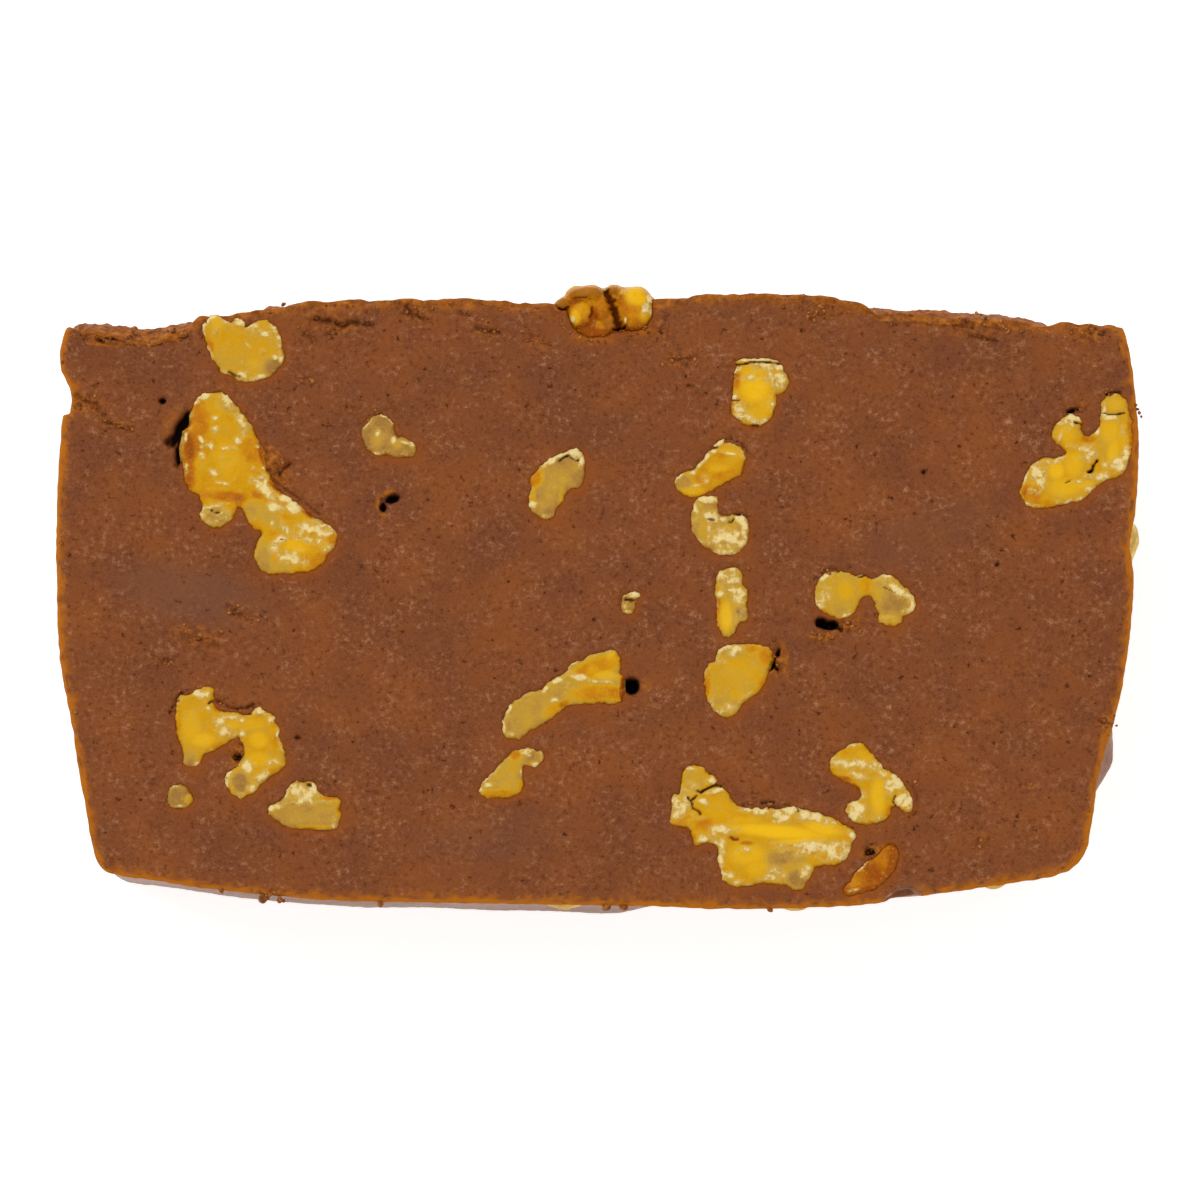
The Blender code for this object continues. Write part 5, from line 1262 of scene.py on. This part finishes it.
# each column of the walls starts where the front's edge has sunk to
rimSink = {(round(u, 4), round(v, 4)): s
           for (u, v), s in zip(unit[onFront & onRim][:, :2], sink[onFront & onRim])}
wallSpots = np.nonzero(onWall)[0]
share = (1.0 - unit[wallSpots, 2]) ** slab["ringEase"]
startSink = np.array([rimSink[(round(u, 4), round(v, 4))] for u, v in unit[wallSpots, :2]])
sink[wallSpots] = startSink + (slab["thickness"] - startSink) * share
sink[onBack] = slab["thickness"]
places = np.column_stack([flat, sink])
near = apart < slab["pushReach"]
push = np.zeros(len(points))
push[near] = pushWall(places[near], outward[near]) * (1.0 - smoothStep(0.0, slab["pushReach"], apart[near]))
push[onFront & near] *= 1.0 - smoothStep(0.0, slab["pushEase"], apart[onFront & near]) * slab["pushLoss"]
shaped = np.column_stack([flat + outward * push[:, None], slab["thickness"] - sink])
under = onBack & ~onRim
backPits = 0.3 + swell(points[under], slab["backPits"], 4.7)
backHeight = slab["backWave"] * hollowAt(points[under], slab["backWaveSize"]) + 0.5 * (backPits - 0.55)
shaped[under, 2] = np.clip(backHeight, 0.0, 0.5) * smoothStep(0.0, 1.0, apart[under])
writePoints(fudge, shaped)

# Marks that the material reads. The halo is painted shadow: an orange-brown shade a little below and right of
# each piece, away from the light, and faintly all round it.
marking = {
    "shadeShift": (-0.15, 0.25, 0.0), "shadeFade": 0.34, "shade": 0.8,
    "haloFade": 0.20, "haloLeast": 0.25, "haloMore": 0.75, "haloSide": (-0.1, 0.25),
    "rim": (0.85, 0.15), "rimDepth": (2.4, 0.3), "rimTopLoss": 0.15,    # a painted amber glow along the thin edge, as of light through it
    "serrated": (1.4, 0.5), "serratedRange": (0.2, 2.0),
    "tornGrain": (0.5, 1.4, 1.0), "torn": (2.2, 0.8), "tornMost": 0.8, "topCrumb": 0.75,
    "hollowShade": (0.35, 1.5),    # depths where the painted shade in hollows starts and where it is full
    "skinDepth": (0.2, 1.6), "skinSide": (0.3, -0.4),    # the smooth, glossy skin of the bottom side; its paler, greyer colour is partly a painted sheen
}
# painted shadow of each walnut piece on the fudge, thrown away from the light
nutInside, shadeInside = np.full(len(points), -farAway), np.full(len(points), -farAway)
for look in cutNuts.values():
    nutInside = np.maximum(nutInside, outlineDepth(points, look["outline"]))
    shadeInside = np.maximum(shadeInside, outlineDepth(points + marking["shadeShift"], look["outline"]))
below = smoothStep(*marking["haloSide"], shadeInside - nutInside)
haloAndShade = np.exp(np.minimum(nutInside, 0.0) / marking["haloFade"])
haloAndShade = haloAndShade * (marking["haloLeast"] + marking["haloMore"] * below)
haloAndShade = np.maximum(haloAndShade, marking["shade"] * np.exp(np.minimum(shadeInside, 0.0) / marking["shadeFade"]))
scoop = patchField(points, face["scoop"]) * onFront
serrated = np.clip(1.0 + swell(points, marking["serrated"], 4.8), *marking["serratedRange"])
rim = smoothStep(*marking["rim"], apart / serrated) * (1.0 - marking["rimTopLoss"] * topside)
rim = rim * smoothStep(*marking["rimDepth"], sink)
topBand = topBandAt(apart, outward)
torn = np.clip(swell(points * marking["tornGrain"], marking["torn"], 2.6), 0.0, marking["tornMost"])
amber = patchField(points, face["amber"]) * onFront
glossy = smoothStep(*marking["skinDepth"], sink) * smoothStep(*marking["skinSide"], outward[:, 1])
# the rim mark is a painted amber glow along the thin edge, joined with the torn band's orange and the amber
# marks
paint(fudge, "rim", np.maximum(np.maximum(rim, torn * topBand * onFront), amber))
paint(fudge, "crumb", (patchField(points, face["crumbly"]) + marking["topCrumb"] * topBand) * onFront)
# painted shade in the face's pits, cracks and pockets, darker the deeper the face sinks, left out of the
# scoop
paint(fudge, "hollowShade", smoothStep(*marking["hollowShade"], sink) * onFront * (1.0 - scoop))
# painted shadow round the walnut pieces
paint(fudge, "haloAndShade", haloAndShade * onFront)
paint(fudge, "smear", patchField(points, face["smeared"]) * onFront)
# the skin mark gives the bottom side and the scoop real gloss and a paler, greyer colour that is partly
# painted sheen
paint(fudge, "skin", np.maximum(glossy * onWall, scoop))
paint(fudge, "crust", topside * onWall)
dressed["fudge"] = fudge
fudge.data.calc_loop_triangles()
fullCount = len(fudge.data.loop_triangles)
applyModifier(fudge, "DECIMATE", {"ratio": slab["mostTriangles"] / fullCount})
turnOutward(fudge)
fudge.data.calc_loop_triangles()
print("fudge shaped:", fullCount, "triangles thinned to", len(fudge.data.loop_triangles))


# Loose crumbs: modelled once, copied along the pits, cracks, crumbly patches and top edge
crumbs = {
    "seed": 41,
    "spots": [
        (-43.2, 25.05, 0.4), (-29.4, 27.55, 0.34), (-49.9, 22.1, 0.2), (49.7, 18.1, 0.2),
        (49.85, 17.75, 0.2), (50.05, 17.4, 0.18), (50.25, 17.05, 0.14), (-35.0, -26.9, 0.3),
        (-31.2, -27.7, 0.5), (-29.6, -27.8, 0.4), (-20.3, -28.2, 0.36), (15.7, -28.7, 0.3),
        (0.6, -28.5, 0.5), (2.2, -28.5, 0.4), (-49.2, 4.2, 0.3), (-49.7, 3.0, 0.25), (-49.9, 5.3, 0.25),
        (-48.6, -10.4, 0.3), (46.6, -11.2, 0.32), (13.8, 2.9, 0.25), (23.6, -2.2, 0.4), (20.4, -3.5, 0.4),
        (21.4, -3.5, 0.35)],
    "perPatch": 7, "patchScatter": 0.5, "patchSize": (0.10, 0.26),
    "perCrack": 6, "crackScatter": 0.25, "crackSize": (0.08, 0.18),
    "alongTop": 70, "topReach": 1.3, "topDepth": 1.5, "topDrop": 0.1, "topSize": (0.08, 0.22),
    "roundPocket": 26, "pocketMiddle": (0.4, 26.2), "pocketHalf": (4.1, 2.2), "pocketSize": (0.08, 0.2),
    "float": 0.1,    # how far a crumb's middle is over the face, in its own size
    "spin": 6.28,    # each turn is drawn from 0 to this, in radians
    "stretch": [(0.8, 1.4), (0.6, 1.0), (0.5, 0.9)],
    "lump": (0.06, 0.25), "lumpFine": (0.05, 0.12),
}
draw = random.Random(crumbs["seed"])
spots = list(crumbs["spots"])
for patchX, patchY, halfX, halfY, turn, strength in face["crumbly"]:
    for piece in range(crumbs["perPatch"]):
        spots.append((patchX + draw.gauss(0, crumbs["patchScatter"]) * halfX,
                      patchY + draw.gauss(0, crumbs["patchScatter"]) * halfY,
                      draw.uniform(*crumbs["patchSize"])))
for line, width, depth in face["cracks"]:
    for piece in range(crumbs["perCrack"]):
        leg = draw.randrange(len(line) - 1)
        part, (startX, startY), (endX, endY) = draw.random(), line[leg], line[leg + 1]
        spots.append((startX + part * (endX - startX) + draw.gauss(0, crumbs["crackScatter"]),
                      startY + part * (endY - startY) + draw.gauss(0, crumbs["crackScatter"]),
                      draw.uniform(*crumbs["crackSize"])))
onEdge = onFront & (topside > 0.6) & (apart < crumbs["topReach"]) & (sink < crumbs["topDepth"])
for place in draw.sample(list(np.nonzero(onEdge)[0]), crumbs["alongTop"]):
    spots.append((shaped[place, 0], shaped[place, 1] - crumbs["topDrop"], draw.uniform(*crumbs["topSize"])))
pocketX, pocketY = crumbs["pocketMiddle"]
for piece in range(crumbs["roundPocket"]):
    turn = draw.uniform(math.pi, 2 * math.pi)
    spots.append((pocketX + crumbs["pocketHalf"][0] * math.cos(turn),
                  pocketY + crumbs["pocketHalf"][1] * math.sin(turn), draw.uniform(*crumbs["pocketSize"])))
surface = kdtree.KDTree(int(onFront.sum()))
for place in np.nonzero(onFront)[0]:
    surface.insert((shaped[place, 0], shaped[place, 1], 0.0), int(place))
surface.balance()
made = []
pickOnly()
bpy.ops.mesh.primitive_ico_sphere_add(subdivisions=2, radius=1.0, location=(0.0, 0.0, 0.0))
seedCrumb = bpy.context.object
for x, y, size in spots:
    ground = shaped[surface.find((x, y, 0.0))[1], 2]
    crumb = seedCrumb.copy()
    crumb.data = seedCrumb.data.copy()
    bpy.context.collection.objects.link(crumb)
    crumb.location = (x, y, ground + size * crumbs["float"])
    crumb.rotation_euler = [draw.uniform(0, crumbs["spin"]) for axis in range(3)]
    crumb.scale = [size * draw.uniform(*stretch) for stretch in crumbs["stretch"]]
    made.append(crumb)
bpy.data.objects.remove(seedCrumb)
pickOnly(*made)
bpy.ops.object.join()
looseCrumbs = bpy.context.object
looseCrumbs.name = "loose_crumbs"
bpy.ops.object.transform_apply(location=True, rotation=True, scale=True)
points, facing = readPoints(looseCrumbs), readNormals(looseCrumbs)
lump = swell(points, crumbs["lump"], 2.8) + swell(points, crumbs["lumpFine"], 5.1)
writePoints(looseCrumbs, points + facing * lump[:, None])
print("crumbs:", len(spots))


def startMaterial(name):
    # the material, its tree and shader, and the place on the piece in millimetres
    material = bpy.data.materials.new(name)
    material.use_nodes = True
    tree = material.node_tree
    place = addNode(tree, "ShaderNodeTexCoord").outputs["Object"]
    inMillimetres = {"operation": "SCALE", "Scale": 1000.0}
    place = addNode(tree, "ShaderNodeVectorMath", inMillimetres, {0: place}).outputs[0]
    return material, tree, tree.nodes["Principled BSDF"], place


def readMark(tree, name):
    return addNode(tree, "ShaderNodeAttribute", {"attribute_name": name}).outputs["Fac"]


def fuzz(tree, place, scale, detail, rough):
    settings = {"Scale": scale, "Detail": detail, "Roughness": rough}
    return addNode(tree, "ShaderNodeTexNoise", settings, {"Vector": place}).outputs[0]


def calculate(tree, operation, *values):
    # each value is a number or an output
    node = addNode(tree, "ShaderNodeMath", {"operation": operation})
    for place, value in enumerate(values):
        if isinstance(value, float):
            node.inputs[place].default_value = value
        else:
            tree.links.new(value, node.inputs[place])
    return node.outputs[0]


def remap(tree, value, start, full, low=0.0, high=1.0):
    settings = {"From Min": start, "From Max": full, "To Min": low, "To Max": high}
    return addNode(tree, "ShaderNodeMapRange", settings, {"Value": value}).outputs[0]


def blend(tree, share, under, over):
    # each colour is hex text or an output
    node = addNode(tree, "ShaderNodeMix", {"data_type": "RGBA"}, {0: share})
    for place, colour in ((6, under), (7, over)):
        if isinstance(colour, str):
            node.inputs[place].default_value = hexColour(colour)
        else:
            tree.links.new(colour, node.inputs[place])
    return node.outputs[2]


def rampAlong(tree, value, stops):
    node = addNode(tree, "ShaderNodeValToRGB", None, {"Fac": value})
    for stop, (at, hexText) in enumerate(stops):
        if stop > 1:
            node.color_ramp.elements.new(at)
        node.color_ramp.elements[stop].position = at
        node.color_ramp.elements[stop].color = hexColour(hexText)
    return node.outputs[0]


def addBump(tree, shader, height, strength, distance):
    bump = addNode(tree, "ShaderNodeBump", {"Strength": strength, "Distance": distance}, {"Height": height})
    tree.links.new(bump.outputs[0], shader.inputs["Normal"])


# Milk chocolate fudge, boiled, grained and cut cold: dull and waxy, clusters of fine pale sugar grain, tiny
# pores darkened with painted shade, torn crumb that is darker and more orange, and a painted amber glow along
# the thin edge
fudgeLook = {
    "brown": "#764024", "warmer": "#8a4b20",  # broad blotches
    # noise by name: grains per millimetre, detail, roughness
    "noises": {"broad": (0.16, 3.0, 0.6), "flock": (0.38, 3.0, 0.6), "grain": (2.3, 3.0, 0.6),
               "fine": (5.5, 2.0, 0.6), "streak": (1.5, 4.0, 0.7), "pore": (1.15, 4.0, 0.65),
               "chunk": (1.5, 4.0, 0.7)},
    "drag": (0.45, 1.4, 1.0),    # the blade drew the streaks out sideways
    # masks by name: which noise, and the values where it starts and is full
    "masks": {"warm": ("broad", 0.35, 0.65), "flocks": ("flock", 0.40, 0.62), "pale": ("grain", 0.53, 0.72),
              "dark": ("grain", 0.46, 0.28), "dust": ("fine", 0.42, 0.70), "drawn": ("streak", 0.60, 0.72),
              "shadedPores": ("pore", 0.335, 0.27)},
    # layers from the bottom up: a mask or a painted mark, its strength, colour
    "layers": [("dark", 0.8, "#572a11"), ("dust", 0.42, "#945a36"), ("pale", 0.85, "#b47c58"),
               # the pores are tiny holes, darkened with painted shade
               ("drawn", 0.45, "#a9754f"), ("smear", 0.6, "#784c36"), ("shadedPores", 0.85, "#471f0d"),
               # the halo layer paints an orange-brown shadow round the walnut pieces
               ("skin", 0.7, "#8a5c42"), ("haloAndShade", 0.78, "#964c10"), ("rim", 0.9, "#bf6d08")],
    "torn": [(0.34, "#3a1a0a"), (0.45, "#7a4119"), (0.55, "#a85d1c"), (0.68, "#c98238")],
    "tornOn": {"crumb": 0.7, "crust": 0.65},
    "hollowShade": "#1a0903",    # painted shade in pits, cracks and pockets
    "ior": 1.46, "specular": 0.10,
    "dull": (0.3, 0.7, 0.5, 0.7), "glossy": 0.34,    # roughness
    "relief": {"fine": 0.4, "shadedPores": -0.6, "pale": 0.25}, "crumbRelief": 2.0,
    "bump": 0.85, "bumpDistance": 0.0002,
}


def makeFudge():
    material, tree, shader, place = startMaterial("milk chocolate fudge")
    drag = {"operation": "MULTIPLY", 1: fudgeLook["drag"]}
    drawnPlace = addNode(tree, "ShaderNodeVectorMath", drag, {0: place}).outputs[0]
    seen = {name: readMark(tree, name) for name in ("rim", "crumb", "hollowShade", "haloAndShade", "smear", "skin", "crust")}
    for name, grain in fudgeLook["noises"].items():
        seen[name] = fuzz(tree, drawnPlace if name == "streak" else place, *grain)
    for name, (source, start, full) in fudgeLook["masks"].items():
        seen[name] = remap(tree, seen[source], start, full)
    for name in ("pale", "drawn"):
        seen[name] = calculate(tree, "MULTIPLY", seen[name], seen["flocks"])
    torn = rampAlong(tree, seen["chunk"], fudgeLook["torn"])
    colour = blend(tree, seen["warm"], fudgeLook["brown"], fudgeLook["warmer"])
    for name, strength, hexText in fudgeLook["layers"]:
        colour = blend(tree, calculate(tree, "MULTIPLY", seen[name], strength), colour, hexText)
    for name, strength in fudgeLook["tornOn"].items():
        colour = blend(tree, calculate(tree, "MULTIPLY", seen[name], strength), colour, torn)
    colour = blend(tree, seen["hollowShade"], colour, fudgeLook["hollowShade"])
    tree.links.new(colour, shader.inputs["Base Color"])

    shader.inputs["IOR"].default_value = fudgeLook["ior"]
    shader.inputs["Specular IOR Level"].default_value = fudgeLook["specular"]
    dull = remap(tree, seen["grain"], *fudgeLook["dull"])
    glossy = {"data_type": "FLOAT", 3: fudgeLook["glossy"]}
    dull = addNode(tree, "ShaderNodeMix", glossy, {0: seen["skin"], 2: dull}).outputs[0]
    tree.links.new(dull, shader.inputs["Roughness"])
    height = seen["grain"]
    for name, share in fudgeLook["relief"].items():
        height = calculate(tree, "MULTIPLY_ADD", seen[name], share, height)
    rough = calculate(tree, "MULTIPLY", seen["crumb"], seen["chunk"])
    height = calculate(tree, "MULTIPLY_ADD", rough, fudgeLook["crumbRelief"], height)
    addBump(tree, shader, height, fudgeLook["bump"], fudgeLook["bumpDistance"])
    return material


# Walnut kernel, cut by the blade: oily and waxy where it is whole, dry and cream where it has flaked,
# and under its own skin brown, wrinkled and a little glossy
kernelLook = {
    # flesh along the painted tone: tan, olive, yellow, amber, orange
    "flesh": [(0.0, "#a27635"), (0.12, "#b88a38"), (0.27, "#c69a30"), (0.5, "#d49a02"), (0.75, "#c47802"),
              (1.0, "#9c4c02")],
    "noises": {"blotch": (0.9, 4.0, 0.6), "flaky": (1.15, 6.0, 0.66), "fibre": (4.2, 3.0, 0.65)},
    "toneDrift": (0.55, -0.27),    # share of the blotches, and what is taken off again
    "tear": (3.6, -1.84), "tearWhere": (0.0, 0.45, 0.12, 1.0),    # how ragged a flake's border is
    "flake": (0.44, 0.56), "fleck": (0.42, 0.95), "fleckFibre": 0.5, "fleckRange": (0.25, 1.2),
    "cream": ("#d2a548", "#eed592"),
    "bright": "#f4be12", "edge": "#9a5508", "edgeShare": 0.6,
    "dust": (0.54, 0.80, 0.0, 0.5), "dustColour": "#dcb85e",
    "soft": (0.12, 0.50, 0.0, 0.55), "softColour": "#dfb95a",    # paler flesh round the flakes
    "husk": ("#7c3f0a", "#c27d20"), "creaseShade": "#552808", "huskCreaseShade": "#62280a",
    "gloss": (0.0, 1.0, 0.36, 0.75), "ior": 1.47, "specular": 0.08,
    "subsurface": 0.12, "subsurfaceRadius": (1.0, 0.6, 0.2), "subsurfaceScale": 0.0008,
    "flakeRelief": 0.8, "bump": 0.5, "bumpDistance": 0.00015,
}


def makeKernel(name, skinned):
    material, tree, shader, place = startMaterial(name)
    seen = {noiseName: fuzz(tree, place, *grain) for noiseName, grain in kernelLook["noises"].items()}
    flake = readMark(tree, "flake")
    drift = calculate(tree, "MULTIPLY_ADD", seen["blotch"], *kernelLook["toneDrift"])
    tone = calculate(tree, "ADD", readMark(tree, "tone"), drift)
    flesh = rampAlong(tree, tone, kernelLook["flesh"])

    # ragged flakes where the painted field is high
    tear = calculate(tree, "MULTIPLY_ADD", seen["flaky"], *kernelLook["tear"])
    ragged = calculate(tree, "MULTIPLY_ADD", tear, remap(tree, flake, *kernelLook["tearWhere"]), flake)
    flakeMask = remap(tree, ragged, *kernelLook["flake"])
    fleck = remap(tree, ragged, *kernelLook["fleck"])
    fleck = calculate(tree, "MULTIPLY_ADD", seen["fibre"], kernelLook["fleckFibre"], fleck)
    cream = blend(tree, remap(tree, fleck, *kernelLook["fleckRange"]), *kernelLook["cream"])

    colour = blend(tree, readMark(tree, "bright"), flesh, kernelLook["bright"])
    # painted shade along each piece's edge away from the light
    edge = calculate(tree, "MULTIPLY", readMark(tree, "edge"), kernelLook["edgeShare"])
    colour = blend(tree, edge, colour, kernelLook["edge"])
    colour = blend(tree, remap(tree, seen["fibre"], *kernelLook["dust"]), colour, kernelLook["dustColour"])
    colour = blend(tree, remap(tree, ragged, *kernelLook["soft"]), colour, kernelLook["softColour"])
    colour = blend(tree, flakeMask, colour, cream)
    if skinned:
        colour = blend(tree, readMark(tree, "skin"), colour, blend(tree, seen["blotch"], *kernelLook["husk"]))
    # painted shade in the cracks
    creaseShade = kernelLook["huskCreaseShade" if skinned else "creaseShade"]
    colour = blend(tree, readMark(tree, "creaseShade"), colour, creaseShade)
    tree.links.new(colour, shader.inputs["Base Color"])

    tree.links.new(remap(tree, flakeMask, *kernelLook["gloss"]), shader.inputs["Roughness"])
    shader.inputs["IOR"].default_value = kernelLook["ior"]
    shader.inputs["Specular IOR Level"].default_value = kernelLook["specular"]
    shader.inputs["Subsurface Weight"].default_value = kernelLook["subsurface"]
    shader.inputs["Subsurface Radius"].default_value = kernelLook["subsurfaceRadius"]
    shader.inputs["Subsurface Scale"].default_value = kernelLook["subsurfaceScale"]
    height = calculate(tree, "MULTIPLY_ADD", flakeMask, kernelLook["flakeRelief"], seen["fibre"])
    addBump(tree, shader, height, kernelLook["bump"], kernelLook["bumpDistance"])
    return material


# Crumbs of the same fudge, torn and not cut: orange-brown, paler where sugar dried out
crumbLook = {
    "grain": (1.1, 3.0, 0.7),
    "tones": [(0.36, "#5a2b10"), (0.50, "#8e4f1e"), (0.64, "#b8783a")],
    "roughness": 0.6, "ior": 1.46, "specular": 0.22,
}


def makeCrumb():
    material, tree, shader, place = startMaterial("torn fudge crumb")
    tone = rampAlong(tree, fuzz(tree, place, *crumbLook["grain"]), crumbLook["tones"])
    tree.links.new(tone, shader.inputs["Base Color"])
    shader.inputs["Roughness"].default_value = crumbLook["roughness"]
    shader.inputs["IOR"].default_value = crumbLook["ior"]
    shader.inputs["Specular IOR Level"].default_value = crumbLook["specular"]
    return material


fudgeMaterial, crumbMaterial = makeFudge(), makeCrumb()
fleshMaterial = makeKernel("cut walnut kernel", False)
skinMaterial = makeKernel("walnut kernel in its skin", True)
for nodeName, piece in dressed.items():
    settle(piece)
    piece.data.materials.clear()
    if nodeName == "fudge":
        piece.data.materials.append(fudgeMaterial)
    elif nodeName in ("walnut_crown", "walnut_skin"):
        piece.data.materials.append(skinMaterial)
    else:
        piece.data.materials.append(fleshMaterial)
    if nodeName != "fudge":
        piece.name = "kernel_" + nodeName.replace("walnut_", "")
    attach(piece, "root")
    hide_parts(nodeName)
settle(looseCrumbs)
looseCrumbs.data.materials.clear()
looseCrumbs.data.materials.append(crumbMaterial)
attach(looseCrumbs, "root")
print("materials on", len(dressed) + 1, "pieces")


# A white table, two large softboxes and a bright room
studio = {
    "floorSize": 3.0, "floorDrop": 0.0002, "floorColour": "#f4f4f2", "floorRoughness": 0.8,
    "floorGlow": 0.56,    # the table is lit from below, so shadows stay faint
    "roomLight": 0.5,
    "key": {"place": (-0.5, 0.65, 0.95), "size": 0.8, "power": 8.0},
    "fill": {"place": (0.6, -0.5, 0.9), "size": 0.9, "power": 3.2},
    "lightAim": (0.0, 0.0, 0.02),
    "cameraReach": 0.75, "cameraTilt": 4.0, "lens": 243.0, "sensor": 36.0, "clipStart": 0.01,
}
pickOnly()
bpy.ops.mesh.primitive_plane_add(size=studio["floorSize"], location=(0.0, 0.0, -studio["floorDrop"]))
floor = bpy.context.object
floor.name = "white_table"
floorMaterial = bpy.data.materials.new("matt white board")
floorMaterial.use_nodes = True
floorShader = floorMaterial.node_tree.nodes["Principled BSDF"]
floorShader.inputs["Base Color"].default_value = hexColour(studio["floorColour"])
floorShader.inputs["Roughness"].default_value = studio["floorRoughness"]
floorShader.inputs["Emission Color"].default_value = (1.0, 1.0, 1.0, 1.0)
floorShader.inputs["Emission Strength"].default_value = studio["floorGlow"]
floor.data.materials.append(floorMaterial)

world = bpy.data.worlds.new("bright room")
bpy.context.scene.world = world
world.use_nodes = True
background = world.node_tree.nodes["Background"]
background.inputs["Color"].default_value = (1.0, 1.0, 1.0, 1.0)
background.inputs["Strength"].default_value = studio["roomLight"]
target = Vector(studio["lightAim"])
for lightName in ("key", "fill"):
    setup = studio[lightName]
    place = Vector(setup["place"])
    facing = (target - place).to_track_quat("-Z", "Y").to_euler()
    bpy.ops.object.light_add(type="AREA", location=place, rotation=facing)
    lamp = bpy.context.object
    lamp.name = lightName + "_softbox"
    lamp.data.shape = "SQUARE"
    lamp.data.size = setup["size"]
    lamp.data.energy = setup["power"]

tilt = math.radians(studio["cameraTilt"])
aim = Vector((-slab["middle"][0] * 0.001, -slab["middle"][1] * 0.001, slab["thickness"] * 0.001))
reach = studio["cameraReach"] * Vector((0.0, -math.sin(tilt), math.cos(tilt)))
bpy.ops.object.camera_add(location=aim + reach, rotation=(tilt, 0.0, 0.0))
camera = bpy.context.object
camera.data.lens = studio["lens"]
camera.data.sensor_width = studio["sensor"]
camera.data.clip_start = studio["clipStart"]
bpy.context.scene.camera = camera
bpy.context.scene.view_settings.view_transform = "Standard"
